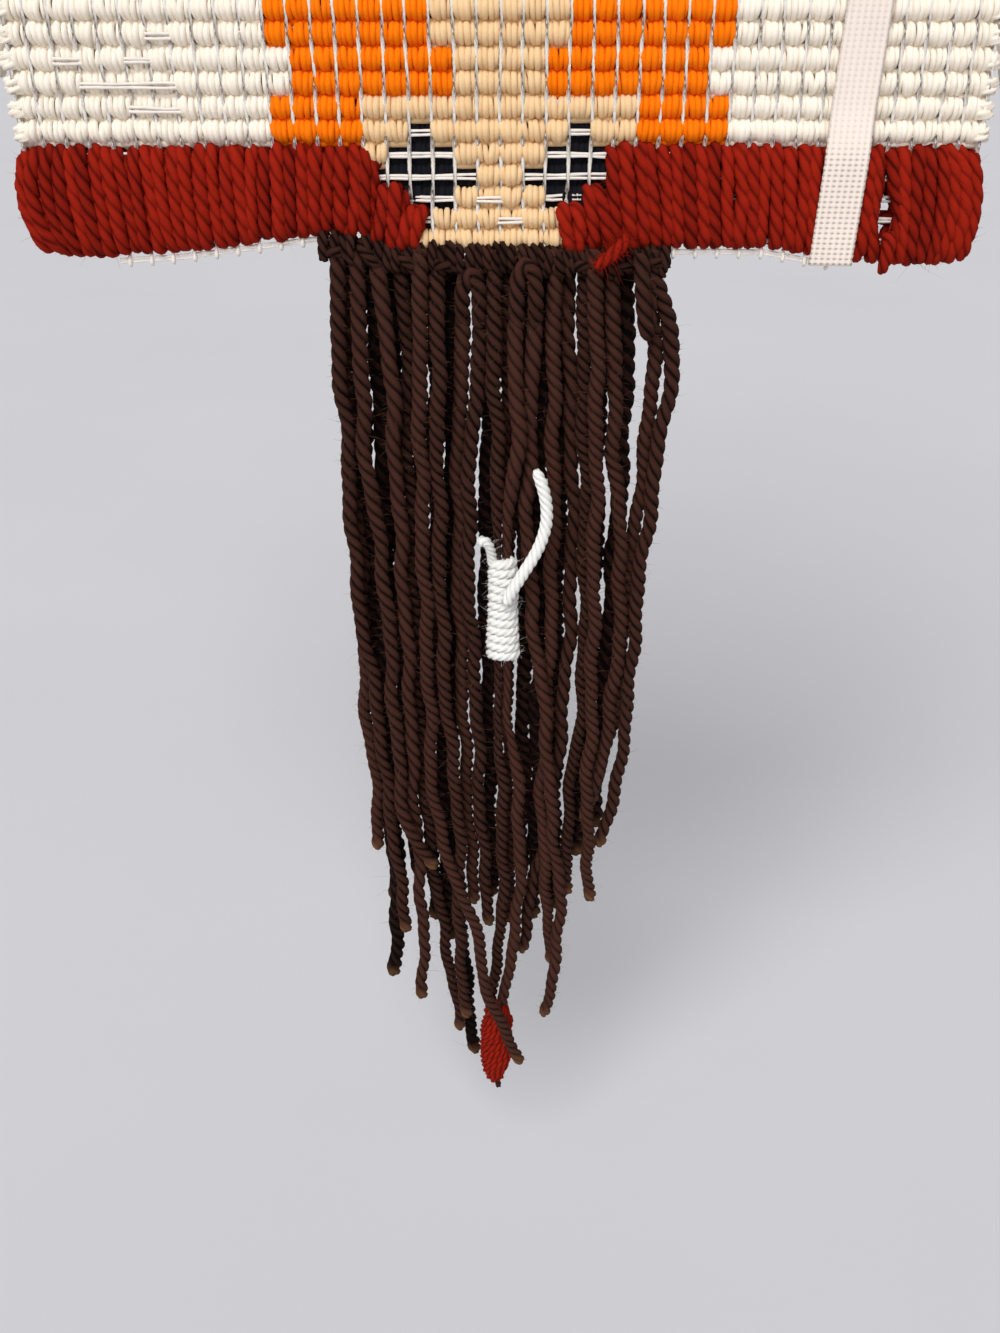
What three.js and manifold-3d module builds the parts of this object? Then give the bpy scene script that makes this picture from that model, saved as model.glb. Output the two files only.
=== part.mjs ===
// A latch hook wall hanging, hung by its top edge and seen from its canvas side.
// Millimetres, +Z up. The origin is the middle of the canvas's top edge.
// The canvas side faces -Y and the cut pile faces +Y.
import * as THREE from 'three';
import { mergeVertices } from 'three/addons/utils/BufferGeometryUtils.js';
import Module from 'manifold-3d';

// Driving dimensions of the canvas and its knots
const PANEL = { width: 286, thickness: 1.5, cornerCut: 8 };
const FIELD = { rows: 44, rowPitch: 6.5 };
const HEM = { rows: 5, rowPitch: 6.2 };
const CLEAR = 0.3;

// How the hung panel bends: its sides come forward, and a slow ripple grows downwards
const BEND = { sides: 4, ripple: 1.2, rippleLength: 190, spans: 6 };

// The yarn loops on the canvas side: their height over the canvas between the rows and on them
const LOOPS = { groove: 2.3, crest: 3.4, inset: 1.2 };

// The cut pile on the front
const PILE = { thick: 21, rim: 10, spread: 5, above: 4, below: 12, lump: 1.8 };
const LOCK = { root: 5.5, length: 17, spacing: 19 };

// The whipped hem: half its thickness, the width of a stitch, and where its inner ends are
const WHIP = { half: 6.2, stitch: 3.6, groove: 0.87, stepTop: 14, outer: 149.5 };
const WHIP_END = { long: 13.5, falls: 3, rises: 15 };
const WHIP_LEFT = { inner: -23.4, step: -37 };
const WHIP_RIGHT = { inner: 18.8, step: 34.5 };

// The lower edge of the whipped hem, by the distance from the middle
const WHIP_EDGE = [
  { from: 0, z: -316.4 },
  { from: 24, z: -316.4 },
  { from: 54, z: -314.4 },
  { from: 76, z: -315.8 },
  { from: 100, z: -318.2 },
  { from: 150, z: -319.4 },
];

const TAPE = { x: 109, lean: 7, width: 14, thickness: 1, top: -3, bottom: -320 };

// The strip of fringe knots under the canvas edge
const STRIP = { left: -54, right: 51, drop: 6, thick: 7.6, bump: 1.1, knots: 16 };

// The fringe: yarn radius, spacing of the sections down a strand, and the closest two may come
const YARN = { radius: 2.75, section: 20, apart: 5.75 };

// One row for each strand: its depth, its place across at drops of 0, 25, 60, 110, 160, 210 and
// 260 mm below the roots, and the place and drop of its end. A bound strand runs through the tie,
// and one with a forward value passes in front of the others near its end.
const STRANDS = [
  { depth: -4, x: [-50.6, -51.8, -51.1, -50.8, -46.0, -43.0, -39.5], end: -38.7, drop: 268 },
  { depth: 3, x: [-49.4, -50.7, -51.7, -49.5, -51.2, -48.2], end: -50.1, drop: 230 },
  { depth: -6, x: [-44.8, -44.9, -44.8, -40.5, -39.4, -35.8], end: -26.6, drop: 233 },
  { depth: 5, x: [-40.4, -39.9, -40.1, -40.9, -43.8, -42.5, -42.9], end: -46.2, drop: 300 },
  { depth: -5, x: [-38.4, -35.9, -35.1, -34.2, -33.4, -34.1, -31.8], end: -33.2, drop: 304 },
  { depth: 1, x: [-31.7, -30.1, -31.4, -31.4, -31.3, -29.3, -25.0], end: -17.3, drop: 328 },
  { depth: -6, forward: 12, x: [-24.1, -25.8, -26.1, -26.0, -26.1, -24.6, -7.2], end: 7.7, drop: 329 },
  { depth: -6, x: [-21.0, -20.0, -21.2, -21.6, -19.8, -16.2, -17.2], end: -14.7, drop: 314 },
  { depth: 5, x: [-15.9, -16.1, -16.8, -17.8, -18.7, -18.6, -17.3], end: -11.8, drop: 346 },
  { depth: 1, x: [-11.7, -12.4, -13.9, -14.6, -14.0, -12.5], end: -10.4, drop: 257 },
  { depth: -2, x: [-8.0, -6.1, -10.2, -11.4, -8.7, -7.7], end: -4.2, drop: 266 },
  { depth: -4, x: [-2.5, -2.1, -0.9, -0.7, 0.0, 1.0, 0.8], end: -3.4, drop: 306.7, bound: true },
  { depth: 4, x: [2.3, 2.3, 2.5, 2.9, 2.9, 3.3, 4.0], end: 4.7, drop: 270 },
  { depth: -5, x: [7.6, 4.6, 6.3, 2.9, 4.0, 7.5, 7.2], end: 0.4, drop: 306.7, bound: true },
  { depth: -3, x: [11.9, 10.9, 9.5, 10.6, 16.7, 20.1, 24.9], end: 19.7, drop: 316 },
  { depth: 5, x: [15.4, 16.1, 13.8, 14.7, 14.5, 14.8], end: 14.0, drop: 269 },
  { depth: 0, x: [17.2, 17.3, 18.4, 18.7, 17.9, 17.4, 19.3], end: 22.3, drop: 290 },
  { depth: 3, x: [22.3, 22.7, 25.0, 26.1, 24.1, 19.6, 12.5], end: 9.4, drop: 285 },
  { depth: 1, x: [26.0, 26.8, 28.5, 30.4, 31.2, 27.1], end: 28.2, drop: 252 },
  { depth: -6, x: [29.4, 31.1, 32.4, 33.2, 34.2, 34.1], end: 36.8, drop: 250 },
  { depth: -3, x: [35.2, 37.0, 38.7, 43.1, 41.9, 37.0], end: 34.1, drop: 213 },
  { depth: 1, x: [44.2, 50.5, 49.7, 46.5, 43.9, 38.0], end: 35.8, drop: 207 },
  { depth: -2, x: [47.4, 56.1, 53.3, 49.3, 47.7, 44.3], end: 39.0, drop: 225 },
  { depth: 7, x: [-46.0, -46.5, -47.0, -46.5, -46.0, -45.0], end: -43.0, drop: 262 },
  { depth: 7, x: [-35.0, -35.5, -36.0, -36.5, -37.0, -36.0], end: -34.0, drop: 248 },
  { depth: 7, x: [-28.0, -27.5, -28.0, -28.5, -29.0, -28.0], end: -27.0, drop: 270 },
  { depth: 7, x: [-20.0, -20.5, -22.0, -23.0, -23.0, -22.0], end: -21.0, drop: 281 },
  { depth: 7, x: [-5.0, -4.5, -4.0, -5.0, -4.5, -4.0], end: -3.0, drop: 258 },
  { depth: 8, x: [9.5, 9.0, 8.5, 8.5, 9.0, 10.0], end: 9.0, drop: 246 },
  { depth: 7, x: [20.5, 20.5, 21.5, 21.0, 21.0, 22.0], end: 23.0, drop: 264 },
  { depth: 7, x: [32.5, 33.0, 33.5, 34.5, 35.0, 33.0], end: 31.0, drop: 236 },
  { depth: 6, x: [40.0, 41.5, 42.0, 41.0, 39.0, 37.0], end: 37.0, drop: 221 },
];
const DROPS = [0, 25, 60, 110, 160, 210, 260];

// The white tie wound round the bound strands
const TIE = { x: 1, y: -5, top: -419.5, bottom: -462, halfWide: 5.9, halfDeep: 4.9, turn: 3.5, groove: 0.9 };
const BOUND = { radius: 1.55, spread: 1.75, ease: 16 };

// The free end of the tie, from the wrap upwards, lying against the strands in front
const TAIL = { radius: 2.2, sides: 8, steps: 14 };
const TAIL_ROUTE = [
  { x: 2.2, y: -11.85, z: -434.5 },
  { x: 4.6, y: -12.9, z: -429 },
  { x: 8.2, y: -13.1, z: -422.5 },
  { x: 11.6, y: -13.1, z: -416.5 },
  { x: 14.2, y: -13, z: -410.5 },
  { x: 15.7, y: -12.9, z: -404 },
  { x: 15.6, y: -12.8, z: -397.5 },
  { x: 14.2, y: -12.7, z: -391 },
  { x: 11.9, y: -12.6, z: -385.2 },
];

// The red winding round the lowest ends
const BULB = { x: -1.7, y: -5, top: -629.5, bottom: -678, turn: 3.6, groove: 0.92 };
const BULB_SHAPE = [
  { down: 0, radius: 4.2 },
  { down: 0.1, radius: 6 },
  { down: 0.3, radius: 7.4 },
  { down: 0.55, radius: 7.7 },
  { down: 0.75, radius: 6.5 },
  { down: 0.9, radius: 4 },
  { down: 1, radius: 2 },
];

const COLOURS = {
  canvas: 0xece8df, cream: 0xf3e9d6, red: 0x98281a, brown: 0x4a3028, white: 0xf2f2ee, tape: 0xebe2d8,
};

const wasm = await Module();
wasm.setup();

const halfWidth = PANEL.width / 2;
const fieldBottom = -FIELD.rows * FIELD.rowPitch;
const canvasBottom = fieldBottom - HEM.rows * HEM.rowPitch;
const halfCanvas = PANEL.thickness / 2;

// Reads a table of named rows at a place between them
function readTable(table, key, value, at) {
  const last = table.length - 1;
  if (at <= table[0][key]) return table[0][value];
  if (at >= table[last][key]) return table[last][value];
  const i = table.findIndex((row) => row[key] > at);
  const [a, b] = [table[i - 1], table[i]];
  return THREE.MathUtils.mapLinear(at, a[key], b[key], a[value], b[value]);
}

// How far the hung panel's middle surface lies from the plane y = 0, straight between a few places
function bend(x, z) {
  const down = Math.min(1, z / canvasBottom);
  const depthAt = (place) => {
    const forward = BEND.sides * (place / halfWidth) ** 2 * (0.35 + 0.65 * down);
    return -forward + BEND.ripple * down * Math.sin((2 * Math.PI * place) / BEND.rippleLength);
  };
  const span = PANEL.width / BEND.spans;
  const left = Math.floor((x + halfWidth) / span) * span - halfWidth;
  return THREE.MathUtils.mapLinear(x, left, left + span, depthAt(left), depthAt(left + span));
}

// A soft unevenness between -1 and 1 that is the same on every build
function unevenness(a, b) {
  return (Math.sin(1.7 * a + 0.6 * b) + Math.sin(0.9 * b - 2.3 * a + 1.1) + Math.sin(3.1 * b + 0.4 * a)) / 3;
}

// Numbers from one end to the other in about equal steps
function spaced(from, to, step) {
  const count = Math.max(1, Math.round(Math.abs(to - from) / step));
  return Array.from({ length: count + 1 }, (_, i) => from + ((to - from) * i) / count);
}

// A closed surface from points and faces, turned so that its faces point out
function closedGeometry(points, faces) {
  let volume = 0;
  for (const [a, b, c] of faces) volume += points[a].clone().cross(points[b]).dot(points[c]);
  const outward = volume < 0 ? faces.map(([a, b, c]) => [a, c, b]) : faces;
  const geometry = new THREE.BufferGeometry();
  geometry.setAttribute('position', new THREE.Float32BufferAttribute(points.flatMap((p) => p.toArray()), 3));
  geometry.setIndex(outward.flat());
  return geometry;
}

// A sheet: columns of points between a near face towards -Y and a far face towards +Y
function sheetGeometry({ columns, levels, z, near, far }) {
  const points = [];
  const faces = [];
  const id = (side, i, j) => (side * columns.length + i) * levels + j;
  for (const face of [near, far]) {
    for (const x of columns) {
      for (let j = 0; j < levels; j++) {
        const height = z(x, j);
        points.push(new THREE.Vector3(x, face(x, height, j), height));
      }
    }
  }
  const quad = (a, b, c, d) => faces.push([a, b, c], [a, c, d]);
  const lastX = columns.length - 1;
  for (let i = 0; i < lastX; i++) {
    for (let j = 0; j < levels - 1; j++) {
      quad(id(0, i, j), id(0, i, j + 1), id(0, i + 1, j + 1), id(0, i + 1, j));
      quad(id(1, i, j), id(1, i + 1, j), id(1, i + 1, j + 1), id(1, i, j + 1));
    }
    quad(id(0, i, 0), id(0, i + 1, 0), id(1, i + 1, 0), id(1, i, 0));
    quad(id(0, i, levels - 1), id(1, i, levels - 1), id(1, i + 1, levels - 1), id(0, i + 1, levels - 1));
  }
  for (let j = 0; j < levels - 1; j++) {
    quad(id(0, 0, j), id(1, 0, j), id(1, 0, j + 1), id(0, 0, j + 1));
    quad(id(0, lastX, j), id(0, lastX, j + 1), id(1, lastX, j + 1), id(1, lastX, j));
  }
  return closedGeometry(points, faces);
}

// A closed form through rings with equal numbers of points, with a flat end on each side
function loftGeometry(rings) {
  const points = rings.flat();
  const sides = rings[0].length;
  const faces = [];
  for (let r = 0; r < rings.length - 1; r++) {
    for (let s = 0; s < sides; s++) {
      const [a, b] = [r * sides + s, r * sides + ((s + 1) % sides)];
      faces.push([a, b, b + sides], [a, b + sides, a + sides]);
    }
  }
  for (const [ring, turned] of [[0, true], [rings.length - 1, false]]) {
    const first = ring * sides;
    for (let s = 1; s < sides - 1; s++) {
      const [a, b] = turned ? [first + s + 1, first + s] : [first + s, first + s + 1];
      faces.push([first, a, b]);
    }
  }
  return closedGeometry(points, faces);
}

// A geometry as a solid that can be joined and cut
function toSolid(geometry) {
  const bare = geometry.clone();
  for (const name of ['normal', 'uv']) bare.deleteAttribute(name);
  const merged = mergeVertices(bare, 1e-4);
  return new wasm.Manifold(new wasm.Mesh({
    numProp: 3,
    vertProperties: merged.attributes.position.array,
    triVerts: new Uint32Array(merged.index.array),
  }));
}

// A joined solid as a geometry with flat faces, without any pocket that its joints closed off
function toGeometry(solid) {
  const outer = solid.decompose().reduce((a, b) => (b.volume() > a.volume() ? b : a));
  const mesh = outer.getMesh();
  const geometry = new THREE.BufferGeometry();
  geometry.setAttribute('position', new THREE.BufferAttribute(mesh.vertProperties, 3));
  geometry.setIndex(new THREE.BufferAttribute(mesh.triVerts, 1));
  return geometry;
}

function cloth(name, geometry, color, roughness = 0.95) {
  geometry.computeVertexNormals();
  const mesh = new THREE.Mesh(geometry, new THREE.MeshStandardMaterial({ color, roughness, metalness: 0 }));
  mesh.name = name;
  return mesh;
}

// The lower edge of the whipped hem at a place across the panel
function whipEdge(x) {
  return readTable(WHIP_EDGE, 'from', 'z', Math.abs(x));
}

// The canvas's lower edge: it shows between the two bindings, and lies inside them elsewhere
function canvasEdge(x) {
  const shows = x > WHIP_LEFT.inner && x < WHIP_RIGHT.inner;
  const corner = Math.max(0, Math.abs(x) - (halfWidth - PANEL.cornerCut));
  return (shows ? canvasBottom : Math.max(canvasBottom, whipEdge(x) + 3)) + corner;
}

// The canvas sheet, or the room that it needs when it is grown by a clearance
function canvasGeometry(grow) {
  const ends = [WHIP_LEFT.inner, WHIP_RIGHT.inner];
  const across = [
    ...spaced(-halfWidth - grow, ends[0], 12),
    ...spaced(ends[0] + 0.05, ends[1] - 0.05, 21),
    ...spaced(ends[1], halfWidth + grow, 12),
  ];
  const shares = spaced(0, 1, 1 / 4);
  const top = grow * 20;
  return sheetGeometry({
    columns: across,
    levels: shares.length,
    z: (x, j) => top + (canvasEdge(THREE.MathUtils.clamp(x, -halfWidth, halfWidth)) - grow - top) * shares[j],
    near: (x, z) => bend(x, z) - halfCanvas - grow,
    far: (x, z) => bend(x, z) + halfCanvas + grow,
  });
}

// The loops of the knots on the canvas side: one rib for each row
function knotBacksGeometry() {
  const face = -halfCanvas - CLEAR;
  const rib = (j) => (j % 2 ? LOOPS.crest : LOOPS.groove);
  const rowsOf = (rows, pitch, start) => Array.from({ length: 2 * rows + 1 }, (_, j) => start - (j * pitch) / 2);
  const block = (left, right, heights) => toSolid(sheetGeometry({
    columns: spaced(left, right, PANEL.width / BEND.spans),
    levels: heights.length,
    z: (x, j) => heights[j],
    near: (x, z, j) => bend(x, z) + face - rib(j),
    far: (x, z) => bend(x, z) + face,
  }));
  const field = rowsOf(FIELD.rows, FIELD.rowPitch, 0);
  field[0] -= CLEAR;
  field[field.length - 1] += CLEAR;
  const hem = rowsOf(HEM.rows, HEM.rowPitch, fieldBottom);
  hem[0] += FIELD.rowPitch / 4;
  hem[hem.length - 1] += CLEAR;
  const wide = halfWidth - LOOPS.inset;
  const stepRoom = WHIP.stitch / 2 + CLEAR;
  const tongue = block(WHIP_LEFT.step + stepRoom, WHIP_RIGHT.step - stepRoom, hem.slice(0, 5));
  const narrow = block(WHIP_LEFT.inner + CLEAR, WHIP_RIGHT.inner - CLEAR, hem.slice(3));
  return toGeometry(block(-wide, wide, field).add(tongue).add(narrow));
}

// One lock of pile: a three-sided taper from its root out of the slab and then down
function lockSolid(root, outward, index) {
  const length = LOCK.length * (1 + 0.25 * unevenness(index, 3));
  const droop = new THREE.Vector3(0, 0, -1);
  const path = new THREE.QuadraticBezierCurve3(
    root,
    root.clone().addScaledVector(outward, length * 0.6),
    root.clone().addScaledVector(outward, length * 0.75).addScaledVector(droop, length * 0.55),
  );
  const across = new THREE.Vector3(0, 1, 0);
  const rings = [0, 0.45, 1].map((t) => {
    const along = path.getTangent(t);
    const sideways = new THREE.Vector3().crossVectors(along, across).normalize();
    const reach = LOCK.root * (1 - 0.72 * t);
    return [0, 1, 2].map((s) => {
      const angle = (2 * Math.PI * s) / 3 + index;
      return path.getPoint(t)
        .addScaledVector(sideways, reach * Math.cos(angle))
        .addScaledVector(across, reach * Math.sin(angle));
    });
  });
  return toSolid(loftGeometry(rings));
}

// The pile: a lumpy slab over the front of the field, bent clear of the bindings, with locks round it
function pileGeometry() {
  const wide = halfWidth + PILE.spread;
  const [top, bottom] = [PILE.above, fieldBottom - PILE.below];
  const heights = spaced(top, bottom, 24);
  const back = (z) => {
    const hemClear = THREE.MathUtils.smoothstep(-z, -fieldBottom - 14, -fieldBottom - 4);
    return halfCanvas + CLEAR + hemClear * (WHIP.half - halfCanvas + 0.6);
  };
  const nearRim = (x, z) => {
    const edge = Math.min(wide - Math.abs(x), top - z, z - bottom);
    return THREE.MathUtils.clamp(edge / 24, 0, 1);
  };
  const surface = (x, z) => {
    const full = PILE.rim + (PILE.thick - PILE.rim) * Math.sqrt(nearRim(x, z));
    return bend(x, z) + back(z) + full + PILE.lump * unevenness(x / 14, z / 14);
  };
  let solid = toSolid(sheetGeometry({
    columns: spaced(-wide, wide, 24),
    levels: heights.length,
    z: (x, j) => heights[j],
    near: (x, z) => bend(x, z) + back(z),
    far: surface,
  }));
  let index = 0;
  const addLock = (x, z, outward) => {
    index += 1;
    const depth = bend(x, z) + back(z) + LOCK.root + 1.2 + (PILE.rim - 2 * LOCK.root) * 0.5 + unevenness(index, 1);
    solid = solid.add(lockSolid(new THREE.Vector3(x, depth, z), outward, index));
  };
  for (const side of [-1, 1]) {
    for (const z of spaced(top - 10, bottom + 10, LOCK.spacing)) {
      addLock(side * (wide - 4), z, new THREE.Vector3(side * 0.72, 0.35, -0.35));
    }
  }
  for (const x of spaced(8 - wide, wide - 8, LOCK.spacing)) {
    addLock(x, bottom + 5, new THREE.Vector3(0, 0.25, -0.8));
    addLock(x, top - 5, new THREE.Vector3(0, 0.75, 0.5));
  }
  return toGeometry(solid);
}

// One whipped hem: a rounded sleeve with a rib for each stitch, open along the canvas, and slanting
// up to its outer end
function bindingGeometry(inner, step, side) {
  const places = spaced(inner, side * WHIP.outer, WHIP.stitch / 2);
  const corners = 8;
  const power = 0.7;
  const bulge = (v) => Math.sign(v) * Math.abs(v) ** power;
  const rings = places.map((x, i) => {
    const towardsEnd = Math.max(0, (Math.abs(x) - (WHIP.outer - WHIP_END.long)) / WHIP_END.long);
    const rounding = Math.sqrt(1 - 0.72 * towardsEnd ** 2.4);
    const full = Math.abs(x) < Math.abs(step) ? fieldBottom - WHIP.stepTop : fieldBottom;
    const top = full - WHIP_END.falls * towardsEnd ** 3;
    const low = whipEdge(x) + WHIP_END.rises * towardsEnd ** 1.4;
    const middle = (top + low) / 2;
    const rib = i % 2 ? 1 : WHIP.groove;
    const high = ((top - low) / 2) * rounding * (0.985 + 0.015 * rib);
    const thick = WHIP.half * rib * (0.45 + 0.55 * rounding);
    return Array.from({ length: corners }, (_, s) => {
      const angle = (2 * Math.PI * (s + 0.5)) / corners;
      const z = middle + high * bulge(Math.sin(angle));
      return new THREE.Vector3(x, bend(x, z) + thick * bulge(Math.cos(angle)), z);
    });
  });
  return toGeometry(toSolid(loftGeometry(rings)).subtract(toSolid(canvasGeometry(CLEAR))));
}

// The flat tape: down over the knot backs, then out over the whipped hem
function tapeGeometry() {
  const heights = [
    ...spaced(TAPE.top, fieldBottom + 12, 22),
    ...spaced(fieldBottom + 5, fieldBottom - 10, 5),
    ...spaced(fieldBottom - 20, TAPE.bottom, 7),
  ];
  const onKnots = halfCanvas + CLEAR + LOOPS.crest + CLEAR;
  const onWhip = WHIP.half + CLEAR;
  const lift = (z) => {
    const over = THREE.MathUtils.smoothstep(-z, -fieldBottom - 12, -fieldBottom + 6);
    return onKnots + (onWhip - onKnots) * over;
  };
  const middle = (z) => TAPE.x - TAPE.lean * (z / canvasBottom) ** 2;
  const columns = [-TAPE.width / 2, 0, TAPE.width / 2];
  const geometry = sheetGeometry({
    columns,
    levels: heights.length,
    z: (x, j) => heights[j],
    near: (x, z) => bend(middle(z) + x, z) - lift(z) - TAPE.thickness,
    far: (x, z) => bend(middle(z) + x, z) - lift(z),
  });
  const position = geometry.attributes.position;
  for (let i = 0; i < position.count; i++) position.setX(i, position.getX(i) + middle(position.getZ(i)));
  return geometry;
}

// The rows of the strand table as centre lines: points one section apart, with a radius at each
function strandLines() {
  const rootZ = canvasBottom - CLEAR - STRIP.drop + 1;
  const lines = STRANDS.map((row) => {
    const known = row.x.map((x, i) => new THREE.Vector2(DROPS[i], x)).filter((p) => p.x < row.drop - 10);
    const curve = new THREE.SplineCurve([...known, new THREE.Vector2(row.drop, row.end)]);
    const route = curve.getPoints(60);
    return spaced(0, row.drop, YARN.section).map((drop) => {
      const i = Math.max(1, route.findIndex((p) => p.x >= drop - 1e-6));
      const [a, b] = [route[i - 1], route[i]];
      const x = THREE.MathUtils.mapLinear(drop, a.x, b.x, a.y, b.y);
      const settle = THREE.MathUtils.smoothstep(drop, 0, 30);
      const follow = bend(x, canvasBottom) * (1 - THREE.MathUtils.smoothstep(drop, 0, 90));
      const forward = (row.forward ?? 0) * THREE.MathUtils.smoothstep(drop, 215, 285);
      const y = follow + row.depth * (0.45 + 0.55 * settle) - forward;
      return { x, y, z: rootZ - drop, radius: YARN.radius, row };
    });
  });
  lines.filter((line) => line[0].row.bound).forEach((line, i) => line.forEach((p) => holdInTie(p, i)));
  return lines;
}

// Draws a bound strand in to its place inside the tie
function holdInTie(point, order) {
  const outside = Math.max(0, point.z - TIE.top - YARN.section, TIE.bottom - YARN.section - point.z);
  const hold = 1 - THREE.MathUtils.smoothstep(outside, 0, BOUND.ease);
  point.x = THREE.MathUtils.lerp(point.x, TIE.x + (order ? BOUND.spread : -BOUND.spread), hold);
  point.y = THREE.MathUtils.lerp(point.y, TIE.y, hold);
  point.radius = THREE.MathUtils.lerp(point.radius, BOUND.radius, hold);
  point.held = hold > 0.999;
}

// Moves the strands apart at each height, mostly in depth, as yarn that hangs side by side lies
function partStrands(lines) {
  const rounds = 160;
  const nearest = (line, z) => line.reduce((a, b) => (Math.abs(b.z - z) < Math.abs(a.z - z) ? b : a));
  const meets = [];
  lines.forEach((line, i) => lines.slice(i + 1).forEach((other) => line.forEach((p) => {
    const q = nearest(other, p.z);
    if (Math.abs(q.z - p.z) < YARN.section * 0.7 && Math.abs(q.x - p.x) < 2 * YARN.apart) meets.push([p, q]);
  })));
  for (let round = 0; round < rounds; round++) {
    for (const [p, q] of meets) {
      const wanted = p.radius + q.radius + YARN.apart - 2 * YARN.radius;
      const [dx, dy] = [q.x - p.x, q.y - p.y];
      const apart = Math.hypot(dx, dy);
      if (apart >= wanted) continue;
      const push = (wanted - apart) / 2;
      const back = q.row.depth >= p.row.depth ? 1 : -1;
      const [mx, my] = [(0.3 * push * dx) / apart, push * (Math.abs(dy / apart) + 0.25) * back];
      if (!p.held) [p.x, p.y] = [p.x - mx, p.y - my];
      if (!q.held) [q.x, q.y] = [q.x + mx, q.y + my];
    }
    for (const line of lines) keepClearOfWindings(line);
  }
}

// Keeps free strands outside the tie and the red winding, and level from point to point
function keepClearOfWindings(line) {
  for (const p of line) {
    if (p.row.bound) continue;
    for (const wound of [{ ...TIE, reach: TIE.halfWide }, { ...BULB, reach: BULB_SHAPE[3].radius }]) {
      if (p.z > wound.top + 8 || p.z < wound.bottom - 8) continue;
      const [dx, dy] = [p.x - wound.x, p.y - wound.y];
      const apart = Math.hypot(dx, dy);
      const wanted = wound.reach + p.radius + 0.4;
      if (apart < wanted) {
        p.x += (dx / apart) * (wanted - apart);
        p.y += (dy / apart) * (wanted - apart);
      }
    }
  }
}

// The knots along the canvas edge with the strands that hang from them
function fringeGeometry() {
  const knotPitch = (STRIP.right - STRIP.left) / STRIP.knots;
  const top = canvasBottom - CLEAR;
  const bump = (x) => (Math.round((2 * (x - STRIP.left)) / knotPitch) % 2 ? STRIP.bump : 0);
  let solid = toSolid(sheetGeometry({
    columns: spaced(STRIP.left, STRIP.right, knotPitch / 2),
    levels: 3,
    z: (x, j) => top - (STRIP.drop * j) / 2,
    near: (x, z, j) => bend(x, z) - STRIP.thick / 2 - (j === 1 ? bump(x) : 0),
    far: (x, z, j) => bend(x, z) + STRIP.thick / 2 + (j === 1 ? bump(x) : 0),
  }));
  const lines = strandLines();
  partStrands(lines);
  for (const line of lines) {
    const rings = line.map((p) => [0, 1, 2, 3].map((s) => {
      const angle = (Math.PI / 2) * s;
      return new THREE.Vector3(p.x + p.radius * Math.cos(angle), p.y + p.radius * Math.sin(angle), p.z);
    }));
    solid = solid.add(toSolid(loftGeometry(rings)));
  }
  return toGeometry(solid);
}

// A winding turned round the vertical, with a crest and a groove for each turn
function windingGeometry({ top, bottom, turn, groove, sides, radiusAt }) {
  const heights = spaced(bottom, top, turn / 2);
  const profile = heights.map((z, i) => new THREE.Vector2(radiusAt(z) * (i % 2 ? 1 : groove), z));
  const closed = [new THREE.Vector2(0, bottom), ...profile, new THREE.Vector2(0, top)];
  return new THREE.LatheGeometry(closed, sides).rotateX(Math.PI / 2);
}

// The white tie: a wound sleeve with room for its two strands, and the short stub of its first end
function tieWrapGeometry() {
  const wound = windingGeometry({ ...TIE, sides: 10, radiusAt: () => 1 }).scale(TIE.halfWide, TIE.halfDeep, 1);
  const room = BOUND.radius + CLEAR;
  const bore = new THREE.BoxGeometry(2 * (BOUND.spread + room), 2 * room, 2 * (TIE.top - TIE.bottom));
  bore.translate(0, 0, (TIE.top + TIE.bottom) / 2);
  const stubRoute = new THREE.QuadraticBezierCurve3(
    new THREE.Vector3(-3.4, -3.1, TIE.top - 2.5),
    new THREE.Vector3(-4.4, -4.2, TIE.top + 7),
    new THREE.Vector3(-8.4, -4.4, TIE.top + 3.4),
  );
  const section = new THREE.Shape();
  section.absarc(0, 0, 1.5, 0, 2 * Math.PI);
  const stub = new THREE.ExtrudeGeometry(section, {
    steps: 5, curveSegments: 3, bevelEnabled: false, extrudePath: stubRoute,
  });
  const solid = toSolid(wound).subtract(toSolid(bore)).add(toSolid(stub));
  return toGeometry(solid);
}

function tieTailGeometry() {
  const route = new THREE.CatmullRomCurve3(TAIL_ROUTE.map((p) => new THREE.Vector3(p.x, p.y, p.z)));
  const section = new THREE.Shape(Array.from({ length: TAIL.sides }, (_, s) => {
    const angle = (2 * Math.PI * s) / TAIL.sides;
    return new THREE.Vector2(TAIL.radius * Math.cos(angle), TAIL.radius * Math.sin(angle));
  }));
  return new THREE.ExtrudeGeometry(section, { steps: TAIL.steps, bevelEnabled: false, extrudePath: route });
}

function tipWrapGeometry() {
  const long = BULB.top - BULB.bottom;
  return windingGeometry({
    ...BULB,
    sides: 10,
    radiusAt: (z) => readTable(BULB_SHAPE, 'down', 'radius', (BULB.top - z) / long),
  });
}

const hanging = new THREE.Group();
hanging.add(cloth('canvas', canvasGeometry(0), COLOURS.canvas));
hanging.add(cloth('knot_backs', knotBacksGeometry(), COLOURS.cream));
hanging.add(cloth('pile', pileGeometry(), COLOURS.cream));
hanging.add(cloth('binding_left', bindingGeometry(WHIP_LEFT.inner, WHIP_LEFT.step, -1), COLOURS.red));
hanging.add(cloth('binding_right', bindingGeometry(WHIP_RIGHT.inner, WHIP_RIGHT.step, 1), COLOURS.red));
hanging.add(cloth('tape', tapeGeometry(), COLOURS.tape));

const fringe = new THREE.Group();
fringe.add(cloth('fringe', fringeGeometry(), COLOURS.brown));

const tie = new THREE.Group();
tie.position.set(TIE.x, TIE.y, 0);
tie.add(cloth('tie_wrap', tieWrapGeometry(), COLOURS.white));
fringe.add(tie, cloth('tie_tail', tieTailGeometry(), COLOURS.white));

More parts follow.
